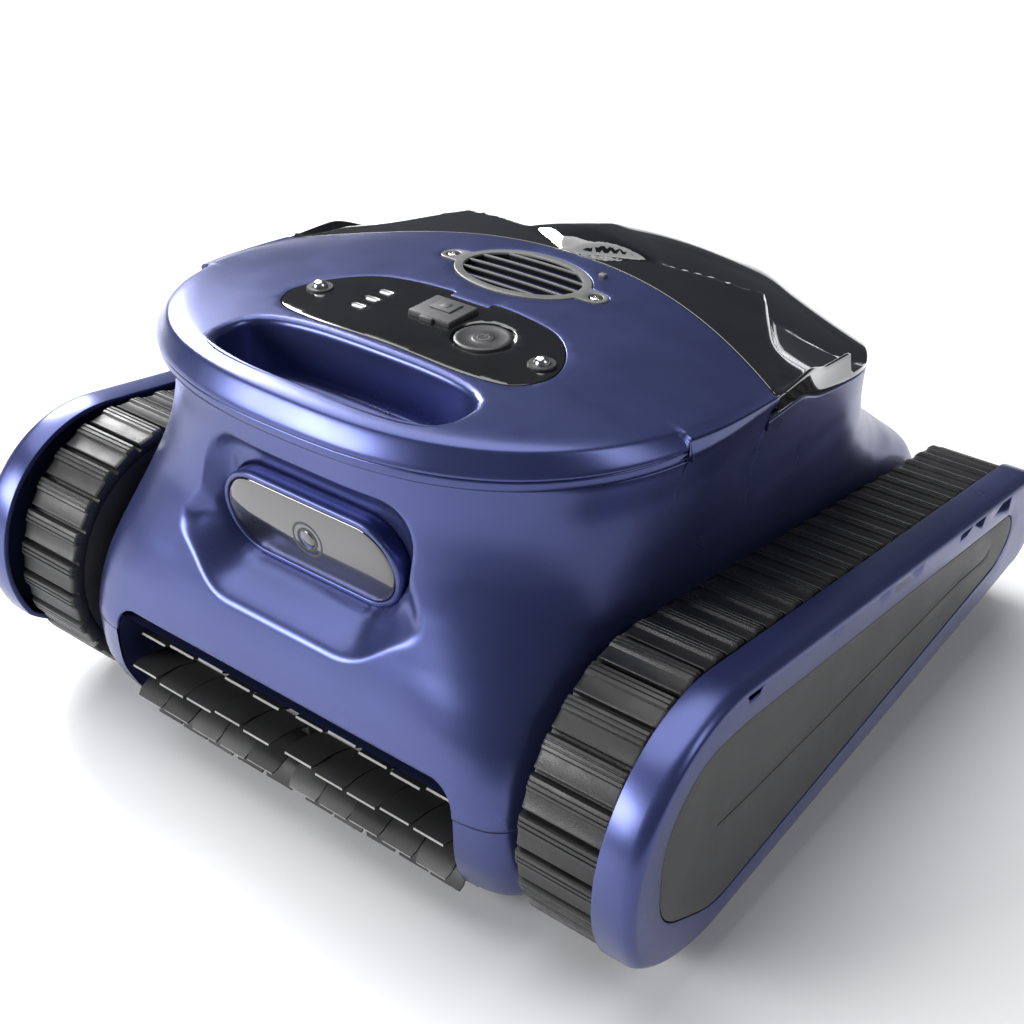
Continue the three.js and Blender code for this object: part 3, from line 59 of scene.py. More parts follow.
# ---- Measures taken from the CAD pieces, in millimetres ----
deck_low, deck_high = cad("deck_cover")
ring_low, ring_high = cad("handle_ring")
belt_low, belt_high = cad("track_belt_right")
cover_low, cover_high = cad("side_cover_right")
panel_low, panel_high = cad("control_panel")
button_low, button_high = cad("power_button")
port_low, port_high = cad("charging_port_cover")
stud_low, stud_high = cad("panel_stud_right")
grille_low, grille_high = cad("vent_grille")
screw_low, screw_high = cad("vent_screw_right")
window_low, window_high = cad("camera_window")
bezel_low, bezel_high = cad("camera_bezel")
roller_low, roller_high = cad("brush_roller_right")
front_wheel_low, front_wheel_high = cad("front_wheel_right")
rear_wheel_low, rear_wheel_high = cad("rear_wheel_right")

LIP_FRONT = ring_low[1] - 0.5
DECK_Z = deck_high[2]
SIDE = 154.0                      # half-width of the deck
DECK_CENTRE_Y = LIP_FRONT + 140.5
FLANK_REAR_Y = DECK_CENTRE_Y + 110.5
BODY_FRONT, BODY_REAR = -211.0, 208.0
HALF_WIDTH = 143.0
SEAM_Z = cad("upper_shell")[0][2]
STEP_Y = LIP_FRONT + 93
CORNER_Y = LIP_FRONT + 161.5
BORDER_Y = LIP_FRONT + 208.5
LIP_BOTTOM = ring_low[2] - 0.3
LIP_SEAM = ring_high[2]
POCKET_Y = LIP_FRONT + 41.5
POCKET_FLOOR = deck_low[2] + 3
VENT_Y = (grille_low[1] + grille_high[1]) / 2


# ---- Small maths ----
def smoothstep(low, high, value):
    t = np.clip((np.asarray(value, float) - low) / (high - low), 0, 1)
    return t * t * (3 - 2 * t)


def smooth_curve(points):
    """Monotone cubic curve through (x, y) points."""
    xs, ys = (np.array(v, float) for v in zip(*points))
    gap = np.diff(xs)
    rise = np.diff(ys) / gap
    slope = np.zeros_like(xs)
    slope[0], slope[-1] = rise[0], rise[-1]
    for i in range(1, len(xs) - 1):
        if rise[i - 1] * rise[i] > 0:
            a, b = 2 * gap[i] + gap[i - 1], gap[i] + 2 * gap[i - 1]
            slope[i] = (a + b) / (a / rise[i - 1] + b / rise[i])

    def at(x):
        x = np.clip(np.asarray(x, float), xs[0], xs[-1])
        k = np.clip(np.searchsorted(xs, x, side="right") - 1, 0, len(gap) - 1)
        t = (x - xs[k]) / gap[k]
        return (ys[k] * (1 + 2 * t) * (1 - t) ** 2 + slope[k] * gap[k] * t * (1 - t) ** 2
                + ys[k + 1] * t * t * (3 - 2 * t) + slope[k + 1] * gap[k] * t * t * (t - 1))

    return at


def super_quarter(side, reach, power, shares):
    """Points of a superellipse from (0, reach) to (side, 0) at the given shares of its length."""
    turn = 2 ** (-1 / power)
    u = np.linspace(0, turn, 160)
    first = np.stack([u, (1 - u ** power) ** (1 / power)], 1)
    points = np.vstack([first, first[-2::-1, ::-1]]) * [side, reach]
    run = np.concatenate([[0], np.cumsum(np.hypot(*np.diff(points, axis=0).T))])
    at = np.asarray(shares) * run[-1]
    return np.stack([np.interp(at, run, points[:, 0]), np.interp(at, run, points[:, 1])], 1)


def super_loop(half_x, half_y, power, count, centre=(0, 0)):
    """A closed superellipse with evenly spaced points."""
    shares = np.linspace(0, 1, count // 4 + 1)
    q = super_quarter(half_x, half_y, power, shares)
    loop = np.vstack([q[:-1], (q * [1, -1])[::-1][:-1], (q * [-1, -1])[:-1], (q * [-1, 1])[::-1][:-1]])
    return loop + centre


def stadium_loop(half_length, radius, count, centre=(0, 0)):
    a = np.linspace(-math.pi / 2, math.pi / 2, count // 2)
    cap = np.stack([np.cos(a), np.sin(a)], 1) * radius + [half_length - radius, 0]
    return np.vstack([cap, -cap]) + centre


def stadium_distance(x, y, half_length, radius):
    reach = half_length - radius
    return np.hypot(np.maximum(np.abs(x) - reach, 0), y) - radius


def box_distance(x, y, half_x, half_y, radius):
    """Signed distance to a rectangle with rounded corners, below zero inside."""
    dx, dy = np.abs(x) - half_x + radius, np.abs(y) - half_y + radius
    return np.hypot(np.maximum(dx, 0), np.maximum(dy, 0)) + np.minimum(np.maximum(dx, dy), 0) - radius


def resample(loop, spacing):
    """A closed loop with its points an even distance apart."""
    closed = np.vstack([loop, loop[:1]])
    run = np.concatenate([[0], np.cumsum(np.hypot(*np.diff(closed, axis=0).T))])
    count = max(8, round(run[-1] / spacing))
    at = np.linspace(0, run[-1], count, endpoint=False)
    return np.stack([np.interp(at, run, closed[:, k]) for k in range(2)], 1)


def offset(loop, distance):
    """A closed loop moved along its own normals, outwards if distance is above zero."""
    ahead, back = np.roll(loop, -1, 0), np.roll(loop, 1, 0)
    tangent = ahead - back
    tangent /= np.maximum(np.hypot(*tangent.T), 1e-9)[:, None]
    area = np.sum(loop[:, 0] * ahead[:, 1] - ahead[:, 0] * loop[:, 1])
    normal = np.stack([tangent[:, 1], -tangent[:, 0]], 1) * np.sign(area)
    return loop + normal * distance


def inside(points, loop):
    """Which points lie inside a closed loop."""
    x, y = points[:, 0], points[:, 1]
    hit = np.zeros(len(points), bool)
    for (x0, y0), (x1, y1) in zip(loop, np.roll(loop, -1, 0)):
        if y0 != y1:
            crosses = (y0 > y) != (y1 > y)
            hit ^= crosses & (x < (x1 - x0) * (y - y0) / (y1 - y0) + x0)
    return hit


# ---- Making pieces ----
def make(name, verts, faces, finish, body="chassis", stands_for=(), slot=None, sharp=40):
    """A mesh piece from millimetre coordinates that rides on a CAD body."""
    mesh = bpy.data.meshes.new(name)
    mesh.from_pydata((np.asarray(verts, float) * MM).tolist(), [], faces)
    mesh.validate()
    work = bmesh.new()
    work.from_mesh(mesh)
    bmesh.ops.remove_doubles(work, verts=work.verts, dist=2e-6)
    bmesh.ops.recalc_face_normals(work, faces=work.faces)
    work.to_mesh(mesh)
    work.free()
    mesh.shade_smooth()
    mesh.set_sharp_from_angle(angle=math.radians(sharp))
    mesh.materials.append(finish)
    piece = bpy.data.objects.new(name, mesh)
    bpy.context.scene.collection.objects.link(piece)
    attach(piece, body)
    if stands_for:
        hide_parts(*stands_for)
    return piece


class Parts:
    """Collects vertices and faces of one piece."""

    def __init__(self):
        self.verts, self.faces = [], []

    def add(self, verts, faces):
        base = len(self.verts)
        self.verts.extend(np.asarray(verts, float).tolist())
        self.faces.extend([[base + i for i in f] for f in faces])

    def strip(self, rows, closed=True):
        """Quads between rows of equal length. A closed row joins its ends."""
        rows = [np.asarray(r, float) for r in rows]
        count = len(rows[0])
        faces = []
        for r in range(len(rows) - 1):
            for i in range(count if closed else count - 1):
                j = (i + 1) % count
                faces.append([r * count + i, r * count + j, (r + 1) * count + j, (r + 1) * count + i])
        self.add(np.vstack(rows), faces)

    def fan(self, row, middle=None):
        row = np.asarray(row, float)
        middle = row.mean(0) if middle is None else middle
        count = len(row)
        self.add(np.vstack([row, [middle]]), [[i, (i + 1) % count, count] for i in range(count)])

    def make(self, name, finish, **how):
        return make(name, self.verts, self.faces, finish, **how)


def with_z(loop, z):
    return np.column_stack([loop, np.broadcast_to(z, len(loop))])


def sheet(parts, outer, holes, height, spacing, guides=()):
    """Triangulates the area between closed (x, y) loops and lifts it to height(x, y).
    guides are extra closed loops that the triangles follow."""
    loops = [outer, *holes, *guides]
    low, high = outer.min(0), outer.max(0)
    xs = np.arange(low[0], high[0] + spacing, spacing)
    ys = np.arange(low[1], high[1] + spacing, spacing * 0.866)
    grid = np.array([(x + (spacing / 2 if j % 2 else 0), y) for j, y in enumerate(ys) for x in xs])
    keep = inside(grid, outer)
    for hole in holes:
        keep &= ~inside(grid, hole)
    grid = grid[keep]
    fixed = np.vstack(loops)
    along = []
    for loop in loops:
        after = np.roll(loop, -1, 0)
        for a, b in zip(loop, after):
            count = max(1, math.ceil(math.dist(a, b) / (spacing * 0.4)))
            along.append(a + (b - a) * np.arange(count)[:, None] / count)
    along = np.vstack(along)
    near = np.full(len(grid), np.inf)
    for start in range(0, len(along), 400):
        part = along[start:start + 400]
        near = np.minimum(near, np.hypot(grid[:, None, 0] - part[:, 0], grid[:, None, 1] - part[:, 1]).min(1))
    grid = grid[near > spacing * 0.6]
    edges, base = [], 0
    for loop in loops:
        count = len(loop)
        edges += [(base + i, base + (i + 1) % count) for i in range(count)]
        base += count
    points = [Vector(p) for p in np.vstack([fixed, grid])]
    found = delaunay_2d_cdt(points, edges, [], 0, 1e-5)
    verts = np.array([tuple(v) for v in found[0]])
    faces = np.array([list(f) for f in found[2]])
    centres = verts[faces].mean(1)
    keep = inside(centres, outer)
    for hole in holes:
        keep &= ~inside(centres, hole)
    parts.add(np.column_stack([verts, height(verts[:, 0], verts[:, 1])]), faces[keep].tolist())


def lathe(profile, count, centre=(0, 0)):
    """Rows of a turned solid from (radius, z) pairs."""
    a = np.linspace(0, 2 * math.pi, count, endpoint=False)
    return [np.column_stack([centre[0] + r * np.cos(a), centre[1] + r * np.sin(a), np.full(count, z)])
            for r, z in profile]


def turned(profile, count, centre=(0, 0), parts=None):
    parts = parts or Parts()
    rows = lathe(profile, count, centre)
    parts.strip(rows)
    for end in (0, -1):
        if profile[end][0] > 0.05:
            parts.fan(rows[end])
    return parts


def block(parts, low, high, round_by=0.4, steps=2):
    """A box with rounded edges."""
    work = bmesh.new()
    bmesh.ops.create_cube(work, size=1)
    size, middle = np.subtract(high, low), np.add(high, low) / 2
    for v in work.verts:
        v.co = Vector(np.array(v.co) * size + middle)
    bmesh.ops.bevel(work, geom=work.edges[:] + work.verts[:], offset=round_by, segments=steps,
                    profile=0.5, affect="EDGES")
    work.verts.index_update()
    parts.add([tuple(v.co) for v in work.verts], [[v.index for v in f.verts] for f in work.faces])
    work.free()


# ---- Materials ----
def node(tree, kind, **values):
    made = tree.nodes.new(kind)
    for key, value in values.items():
        setattr(made, key, value)
    return made


def link(tree, a, out, b, into):
    tree.links.new(a.outputs[out], b.inputs[into])


def finish(name, colour, spread=0.12, patch=25, rough=(0.4, 0.5), rough_patch=60, grain=2500, bump=0.15,
           depth=0.0002, metallic=0.0, coat=0.0, coat_rough=0.1, specular=0.5, wear=0.0, wear_colour=None,
           sheen=0.0, dust=0.0, alpha=1.0):
    """A moulded, painted or rubber surface: patchy colour, patchy roughness, fine grain and worn edges."""
    mat = bpy.data.materials.new(name)
    mat.use_nodes = True
    tree = mat.node_tree
    shader = tree.nodes["Principled BSDF"]
    shader.inputs["Metallic"].default_value = metallic
    shader.inputs["Coat Weight"].default_value = coat
    shader.inputs["Coat Roughness"].default_value = coat_rough
    shader.inputs["Specular IOR Level"].default_value = specular
    shader.inputs["Sheen Weight"].default_value = sheen
    shader.inputs["Alpha"].default_value = alpha
    where = node(tree, "ShaderNodeTexCoord")

    def noise(scale, detail, roughness=0.55):
        made = node(tree, "ShaderNodeTexNoise")
        made.inputs["Scale"].default_value = scale
        made.inputs["Detail"].default_value = detail
        made.inputs["Roughness"].default_value = roughness
        link(tree, where, "Object", made, "Vector")
        return made

    large = noise(patch, 4)
    ramp = node(tree, "ShaderNodeValToRGB")
    ramp.color_ramp.elements[0].position = 0.32
    ramp.color_ramp.elements[1].position = 0.68
    ramp.color_ramp.elements[0].color = [c * (1 - spread) for c in colour] + [1]
    ramp.color_ramp.elements[1].color = [min(1, c * (1 + spread)) for c in colour] + [1]
    link(tree, large, "Fac", ramp, "Fac")
    last, out = ramp, "Color"
    if wear:
        edges = node(tree, "ShaderNodeNewGeometry")
        sharp = node(tree, "ShaderNodeValToRGB")
        sharp.color_ramp.elements[0].position = 0.54
        sharp.color_ramp.elements[1].position = 0.62
        link(tree, edges, "Pointiness", sharp, "Fac")
        rubbed = node(tree, "ShaderNodeMath", operation="MULTIPLY")
        link(tree, sharp, "Color", rubbed, 0)
        link(tree, noise(180, 6), "Fac", rubbed, 1)
        amount = node(tree, "ShaderNodeMath", operation="MULTIPLY")
        link(tree, rubbed, "Value", amount, 0)
        amount.inputs[1].default_value = wear
        mix = node(tree, "ShaderNodeMix", data_type="RGBA")
        link(tree, amount, "Value", mix, 0)
        link(tree, last, out, mix, 6)
        mix.inputs[7].default_value = list(wear_colour or [min(1, c * 2.2 + 0.02) for c in colour]) + [1]
        last, out = mix, 2
    if dust:
        fall = noise(9, 5, 0.7)
        spread_map = node(tree, "ShaderNodeMapRange")
        spread_map.inputs["From Min"].default_value = 0.45
        spread_map.inputs["From Max"].default_value = 0.8
        spread_map.inputs["To Max"].default_value = dust
        link(tree, fall, "Fac", spread_map, "Value")
        mix = node(tree, "ShaderNodeMix", data_type="RGBA")
        link(tree, spread_map, "Result", mix, 0)
        link(tree, last, out, mix, 6)
        mix.inputs[7].default_value = (0.19, 0.18, 0.165, 1)
        last, out = mix, 2
    link(tree, last, out, shader, "Base Color")
    gloss = node(tree, "ShaderNodeMapRange")
    gloss.inputs["To Min"].default_value, gloss.inputs["To Max"].default_value = rough
    gloss.inputs["From Min"].default_value, gloss.inputs["From Max"].default_value = 0.3, 0.7
    link(tree, noise(rough_patch, 5, 0.6), "Fac", gloss, "Value")
    link(tree, gloss, "Result", shader, "Roughness")
    fine = noise(grain, 2, 0.5)
    raised = node(tree, "ShaderNodeBump")
    raised.inputs["Strength"].default_value = bump
    raised.inputs["Distance"].default_value = depth
    link(tree, fine, "Fac", raised, "Height")
    link(tree, raised, "Normal", shader, "Normal")
    return mat


blue = finish("blue_metallic_coat", (0.055, 0.070, 0.205), spread=0.07, patch=14, rough=(0.27, 0.34),
              rough_patch=35, grain=2600, bump=0.10, depth=0.00012, metallic=0.72, coat=0.25,
              coat_rough=0.22, wear=0.25, wear_colour=(0.20, 0.24, 0.42))
smoked = finish("smoked_gloss", (0.006, 0.006, 0.007), spread=0.3, patch=40, rough=(0.03, 0.07),
                rough_patch=20, grain=140, bump=0.05, depth=0.0004, coat=1.0, coat_rough=0.03, specular=0.6)
piano = finish("piano_black", (0.007, 0.007, 0.0075), spread=0.2, patch=60, rough=(0.10, 0.16),
               rough_patch=50, grain=900, bump=0.03, depth=0.0002, coat=0.6, coat_rough=0.08)
glass_black = finish("camera_glass", (0.006, 0.006, 0.006), spread=0.2, patch=60, rough=(0.02, 0.05),
                     rough_patch=30, grain=200, bump=0.01, coat=1.0, coat_rough=0.02, specular=0.8)
# Painted shade: a near-black matte finish for the cup and blades under the vent grille, standing in for the
# shadow inside the vent.
painted_shade_black = finish("painted_shade_black", (0.004, 0.004, 0.004), rough=(0.6, 0.8), specular=0.2)
lens_glass = finish("lens_glass", (0.012, 0.012, 0.016), spread=0.3, patch=200, rough=(0.02, 0.04),
                    rough_patch=60, grain=300, bump=0.01, coat=1.0, coat_rough=0.01, specular=1.0)
black_plastic = finish("black_plastic", (0.017, 0.017, 0.018), rough=(0.42, 0.56), bump=0.3, wear=0.4,
                       dust=0.12)
wheel_black = finish("wheel_plastic", (0.018, 0.018, 0.019), rough=(0.45, 0.6), bump=0.3, wear=0.4,
                     dust=0.25)
charcoal = finish("charcoal_grain", (0.036, 0.037, 0.036), spread=0.06, patch=18, rough=(0.40, 0.50),
                  rough_patch=30, grain=3400, bump=0.32, depth=0.00016, wear=0.3, dust=0.05)
button_grey = finish("button_satin", (0.030, 0.030, 0.032), spread=0.08, rough=(0.34, 0.44), grain=3000,
                     bump=0.2, wear=0.35)
port_rubber = finish("port_rubber", (0.030, 0.030, 0.033), spread=0.1, rough=(0.45, 0.58), grain=2200,
                     bump=0.35, wear=0.5, sheen=0.1)
flap_rubber = finish("flap_rubber", (0.02, 0.02, 0.02), rough=(0.6, 0.75), bump=0.3, sheen=0.1)
track_rubber = finish("track_rubber", (0.013, 0.013, 0.0135), spread=0.22, patch=45, rough=(0.34, 0.52),
                      rough_patch=90, grain=1500, bump=0.45, depth=0.0003, wear=0.55,
                      wear_colour=(0.09, 0.09, 0.088), dust=0.05)
brush_rubber = finish("brush_rubber", (0.014, 0.014, 0.0145), spread=0.2, rough=(0.38, 0.52), grain=1800,
                      bump=0.3, wear=0.2, sheen=0.05)
# Painted highlight: light grey for the tips of the black rubber vanes, where light catches their thin edges.
brush_tip_highlight = finish("brush_tip_painted_highlight", (0.34, 0.34, 0.33), spread=0.15, patch=90, rough=(0.5, 0.65),
                    grain=2500, bump=0.4)
grille_grey = finish("grille_grey", (0.125, 0.128, 0.125), spread=0.08, rough=(0.34, 0.44), grain=2800,
                     bump=0.2, wear=0.4)
gear_grey = finish("gear_grey", (0.2, 0.2, 0.2), rough=(0.4, 0.5), bump=0.2)
light_guide = finish("light_guide", (0.86, 0.88, 0.9), spread=0.03, rough=(0.25, 0.35), bump=0.1)
basket_white = finish("basket_plastic", (0.62, 0.65, 0.68), spread=0.05, rough=(0.35, 0.45), bump=0.2)
mesh_grey = finish("filter_cloth", (0.30, 0.32, 0.34), spread=0.2, patch=600, rough=(0.7, 0.85), grain=1300,
                   bump=0.9, depth=0.0006)
steel = finish("polished_steel", (0.62, 0.62, 0.63), spread=0.06, patch=120, rough=(0.12, 0.24),
               rough_patch=200, grain=1200, bump=0.08, metallic=1.0)
motor_steel = finish("motor_steel", (0.42, 0.42, 0.43), spread=0.08, rough=(0.28, 0.4), grain=900, bump=0.2,
                     metallic=1.0)
board_green = finish("board_lacquer", (0.02, 0.11, 0.05), rough=(0.3, 0.4), bump=0.2)
cell_wrap = finish("cell_film", (0.03, 0.08, 0.32), spread=0.05, rough=(0.2, 0.3), bump=0.1, coat=0.4)

FINISH_BY_SLOT = {
    "body_blue": blue, "lid_smoked": smoked, "gloss_black": piano, "black_plastic": black_plastic,
    "wheel_black": wheel_black, "insert_charcoal": charcoal, "button_grey": button_grey,
    "port_rubber": port_rubber, "flap_rubber": flap_rubber, "track_rubber": track_rubber,
    "brush_rubber": brush_rubber, "grey_plastic": gear_grey, "light_guide": light_guide,
    "basket_white": basket_white, "filter_mesh": mesh_grey, "steel": steel, "motor_steel": motor_steel,
    "board_green": board_green, "cell_wrap": cell_wrap,
}
for part in frame["record"]["subparts"]:
    shown = frame["nodes"][part["node"]]
    shown.data.materials.clear()
    shown.data.materials.append(FINISH_BY_SLOT[part["material_slot"]])

# ---- Body skin: plan rings at each height, as in the CAD shell ----
LEVELS = [
    (16, -6, 17, 9, 8, 7), (25, -1, 11, 12, 1, 8), (38, 0, 4.5, 12, 0, 8), (50, 0, 0.8, 12, 0, 8),
    (58, 0, 0.2, 12, 0, 8), (71.5, 0, 0, 12, 0, 8),
    (87, 0, 2.5, 11, 4, 6.5), (102, 0, 6, 9, 17, 4.6), (116, 0, 11, 7, 27, 3.2),
    (130, -0.5, 17, 5.5, 33, 2.6), (143, -1, 22, 4.5, 40, 2.4), (155, -1, 26, 3.8, 45, 2.4),
    (170, 0, 29, 3.2, 50, 2.4), (190, 3, 32, 2.8, 60, 2.5), (207, 8, 32.5, 2.6, 66, 2.6),
    (211, 9.6, 31.5, 2.55, 66, 2.6), (215, 11, 20.5, 2.5, 66, 2.6), (232, 11, 20.5, 2.5, 66, 2.6),
]
widen = smooth_curve([(z, w) for z, w, *_ in LEVELS])
front_inset = smooth_curve([(v[0], v[2]) for v in LEVELS])
front_square = smooth_curve([(v[0], 1 / v[3]) for v in LEVELS])
rear_inset = smooth_curve([(v[0], v[4]) for v in LEVELS])
rear_square = smooth_curve([(v[0], 1 / v[5]) for v in LEVELS])
seam_over_flank = smooth_curve([(CORNER_Y, 200), (CORNER_Y + 28.5, 200), (29.5, 190), (84.5, 180),
                                (129.5, 164), (170.5, 141.5), (BODY_REAR, 125.5)])


def seam_height(y):
    if y < STEP_Y:
        return LIP_BOTTOM
    if y < CORNER_Y:
        return LIP_BOTTOM + 11 - 6 * (y - STEP_Y) / (CORNER_Y - STEP_Y)
    return float(seam_over_flank(y))


def half_ring(z, shares_front, flank_ys, shares_rear):
    """Right half of the body's plan at height z, from the front middle to the rear middle."""
    side = HALF_WIDTH + widen(z)
    front = super_quarter(side, DECK_CENTRE_Y - BODY_FRONT - front_inset(z), 1 / front_square(z),
                          shares_front)
    rear = super_quarter(side, BODY_REAR - rear_inset(z) - FLANK_REAR_Y, 1 / rear_square(z), shares_rear)
    front[:, 1] = DECK_CENTRE_Y - front[:, 1]
    rear = rear[::-1] + [0, FLANK_REAR_Y]
    flank = np.column_stack([np.full(len(flank_ys), side), flank_ys])
    return np.vstack([front, flank, rear])


def body_columns():
    """Shares of the front curve, places on the flank and shares of the rear curve."""
    top = super_quarter(SIDE, DECK_CENTRE_Y - LIP_FRONT, 2.5, np.linspace(0, 1, 2001))
    step_share = np.interp(DECK_CENTRE_Y - STEP_Y, top[::-1, 1], np.linspace(1, 0, 2001))
    low = super_quarter(HALF_WIDTH, DECK_CENTRE_Y - BODY_FRONT - 0.5, 12, np.linspace(0, 1, 4001))
    slot_share = np.interp(111, low[:, 0], np.linspace(0, 1, 4001))
    shares = set(np.linspace(0, 0.385, 86)) | set(np.linspace(0.385, 1, 60))
    shares = {s for s in shares if abs(s - step_share) > 0.004 and abs(s - slot_share) > 0.002}
    shares |= {step_share - 5e-4, step_share + 5e-4, slot_share - 4e-4, slot_share + 4e-4}
    flank = [y for y in np.arange(DECK_CENTRE_Y + 3.5, FLANK_REAR_Y, 3.6) if abs(y - CORNER_Y) > 1.2]
    flank = sorted(flank + [CORNER_Y - 0.12, CORNER_Y + 0.12])
    rear = 1 - np.linspace(0, 1, 62)
    return np.array(sorted(shares)), np.array(flank), rear[::-1], step_share, slot_share


FRONT_SHARES, FLANK_YS, REAR_SHARES, STEP_SHARE, SLOT_SHARE = body_columns()
FRONT_COUNT = len(FRONT_SHARES)


def ring_table(heights):
    return np.stack([half_ring(z, FRONT_SHARES, FLANK_YS, REAR_SHARES) for z in heights])


TABLE_Z = np.concatenate([np.arange(16, 71.5, 2.5), np.arange(71.5, 232.1, 1.0)])
TABLE = ring_table(TABLE_Z)


def column_at(index, z):
    """Where a column of the skin stands at the given heights."""
    return np.column_stack([np.interp(z, TABLE_Z, TABLE[:, index, k]) for k in range(2)] + [z])


def column_top(index):
    if index < FRONT_COUNT and FRONT_SHARES[index] < STEP_SHARE:
        return LIP_BOTTOM
    z = 205.0
    for _ in range(12):
        y = float(np.interp(z, TABLE_Z, TABLE[:, index, 1]))
        if index < FRONT_COUNT:
            y = max(y, STEP_Y + 0.1)
        z = 0.5 * z + 0.5 * seam_height(y)
    return z


def column_bottom(index):
    if index < FRONT_COUNT and FRONT_SHARES[index] < SLOT_SHARE:
        x = float(np.interp(75, TABLE_Z, TABLE[:, index, 0]))
        if x < 98:
            return 87.0
        return 74 + 13 * math.sqrt(max(0, 1 - ((x - 98) / 13) ** 2))
    return SEAM_Z


# ---- Camera recess: how far the skin is pushed back, by place on the front ----
WINDOW_Z = (window_low[2] + window_high[2]) / 2
BEZEL_HALF, BEZEL_RADIUS = bezel_high[0], (bezel_high[2] - bezel_low[2]) / 2 - 1


def recess(points):
    x, y, z = points.T
    gap = stadium_distance(x, z - WINDOW_Z, BEZEL_HALF, BEZEL_RADIUS)
    nearest_x = np.clip(x, -(BEZEL_HALF - BEZEL_RADIUS), BEZEL_HALF - BEZEL_RADIUS)
    down = (WINDOW_Z - z) / np.maximum(np.hypot(x - nearest_x, z - WINDOW_Z), 1e-6)
    slope = 0.42 + 1.22 * smoothstep(0.15, 0.95, down)
    floor = np.where(gap > 0, -176.3 - slope * gap, -171.0)
    rim = -stadium_distance(x, z - 140.5, 77, 26)
    wall = np.clip(rim / 11, 0, 1)
    dish = (1 - (1 - wall) ** 2) * np.maximum(0, floor - y)
    rim_up = -box_distance(x, z - 165.5, 65, 26.5, 21)
    wall_up = np.clip(rim_up / 10, 0, 1)
    pocket_floor = np.where(gap > 0, -169.5, -166.0)
    pocket = (1 - (1 - wall_up) ** 2) * np.maximum(0, pocket_floor - y)
    both = np.hypot(dish, pocket) * 0.35 + np.maximum(dish, pocket) * 0.65
    push = np.minimum(both, np.maximum(0, -166.0 - y))
    return np.where((y < -120) & (np.abs(x) < 90), push, 0)


def soften(field, rounds):
    for _ in range(rounds):
        padded = np.pad(field, 1, mode="edge")
        field = (padded[1:-1, 1:-1] * 4 + padded[:-2, 1:-1] + padded[2:, 1:-1] + padded[1:-1, :-2]
                 + padded[1:-1, 2:]) / 8
    return field


def mirrored(columns):
    """Full loop of columns from the right half: the left half is its mirror image."""
    left = columns[-2:0:-1] * [-1, 1, 1]
    return np.concatenate([columns, left])


def build_shell():
    rows = 118
    columns = []
    for i in range(TABLE.shape[1]):
        t = np.linspace(0, 1, rows)
        low, high = column_bottom(i), column_top(i)
        columns.append(column_at(i, low + (high - low) * t))
    full = mirrored(np.stack(columns))
    push = recess(full.reshape(-1, 3)).reshape(full.shape[:2])
    push = soften(push, 3)
    full[:, :, 1] += push
    parts = Parts()
    parts.strip([full[:, r] for r in range(rows)])
    shell = parts.make("upper_shell_moulding", blue, stands_for=["upper_shell"], slot="body_blue", sharp=50)
    thick = shell.modifiers.new("wall", "SOLIDIFY")
    thick.thickness = 2.6 * MM
    thick.offset = -1
    return shell


def build_lower_housing():
    """Lower half of the body: outer wall with the brush mouth, its bay and the floor."""
    levels = [16.0, 16.6, 17.8, 19.6, 22, 25, 29, 34, 40, 46, 52, 58, 64, 69, SEAM_Z - 0.7, SEAM_Z - 0.3]
    mouth = roller_high[0] + 5
    table = ring_table(levels)
    full = []
    for level, half in zip(levels, table):
        ring = np.vstack([half, half[-2:0:-1] * [-1, 1]])
        shrink = {16.0: 3.2, 16.6: 1.6, 17.8: 0.6}.get(level, 0)
        if level == levels[-1]:
            shrink = 0.5
        full.append(with_z(offset(ring, -shrink) if shrink else ring, level))
    full = np.stack(full)
    front = (full[len(levels) // 2][:, 1] < -195) & (np.abs(full[len(levels) // 2][:, 0]) < mouth)
    parts = Parts()
    count = full.shape[1]
    faces = []
    for r in range(len(levels) - 1):
        for i in range(count):
            j = (i + 1) % count
            if not (front[i] and front[j]):
                faces.append([r * count + i, r * count + j, (r + 1) * count + j, (r + 1) * count + i])
    parts.add(full.reshape(-1, 3), faces)
    # cheeks and arch of the brush bay
    brush_y, brush_z = (roller_low[1] + roller_high[1]) / 2, (roller_low[2] + roller_high[2]) / 2
    bay = (roller_high[1] - roller_low[1]) / 2 + 3
    reach = np.linspace(-mouth, mouth, 40)
    arc = []
    for a in np.linspace(-0.20 * math.pi, 0.62 * math.pi, 40):
        y, z = brush_y + bay * math.cos(a), brush_z + bay * math.sin(a)
        arc.append(np.column_stack([reach, np.full(40, y), np.full(40, max(z, 16.2))]))
    roof = arc[-1].copy()
    roof[:, 1], roof[:, 2] = BODY_FRONT + 3.2, max(roof[0][2], SEAM_Z + 9)
    parts.strip(arc + [roof], closed=False)
    for side in (-1, 1):
        edge = np.array([(side * mouth, p[0][1], p[0][2]) for p in arc] + [roof[0] * [side * -1, 1, 1]])
        edge[:, 0] = side * mouth
        corner = [[side * mouth, BODY_FRONT + front_inset(z) + 1.2, z] for z in (roof[0][2], 62, 50, 44, 38,
                                                                                 31, 25, 20,
                                                                                 16.2)]
        loop = np.vstack([edge, corner])
        parts.add(loop, [list(range(len(loop)))])
    # floor, with the two intakes cut out
    outline = offset(np.vstack([table[0], table[0][-2:0:-1] * [-1, 1]]), -3.2)
    outline = outline[(outline[:, 1] > brush_y + bay * 0.8)]
    order = np.argsort(np.arctan2(outline[:, 0], -(outline[:, 1] - 0)))
    outline = outline[order]
    holes = [np.array(loop)[:, :2] for loop in intake_holes()]
    sheet(parts, outline, holes, lambda x, y: np.full(len(x), 16.0), 9)
    for hole in holes:
        parts.strip([with_z(hole, 16.0), with_z(hole, 22.0)])
    made = parts.make("lower_housing_moulding", blue, stands_for=["lower_housing"], slot="body_blue",
                      sharp=45)
    return made


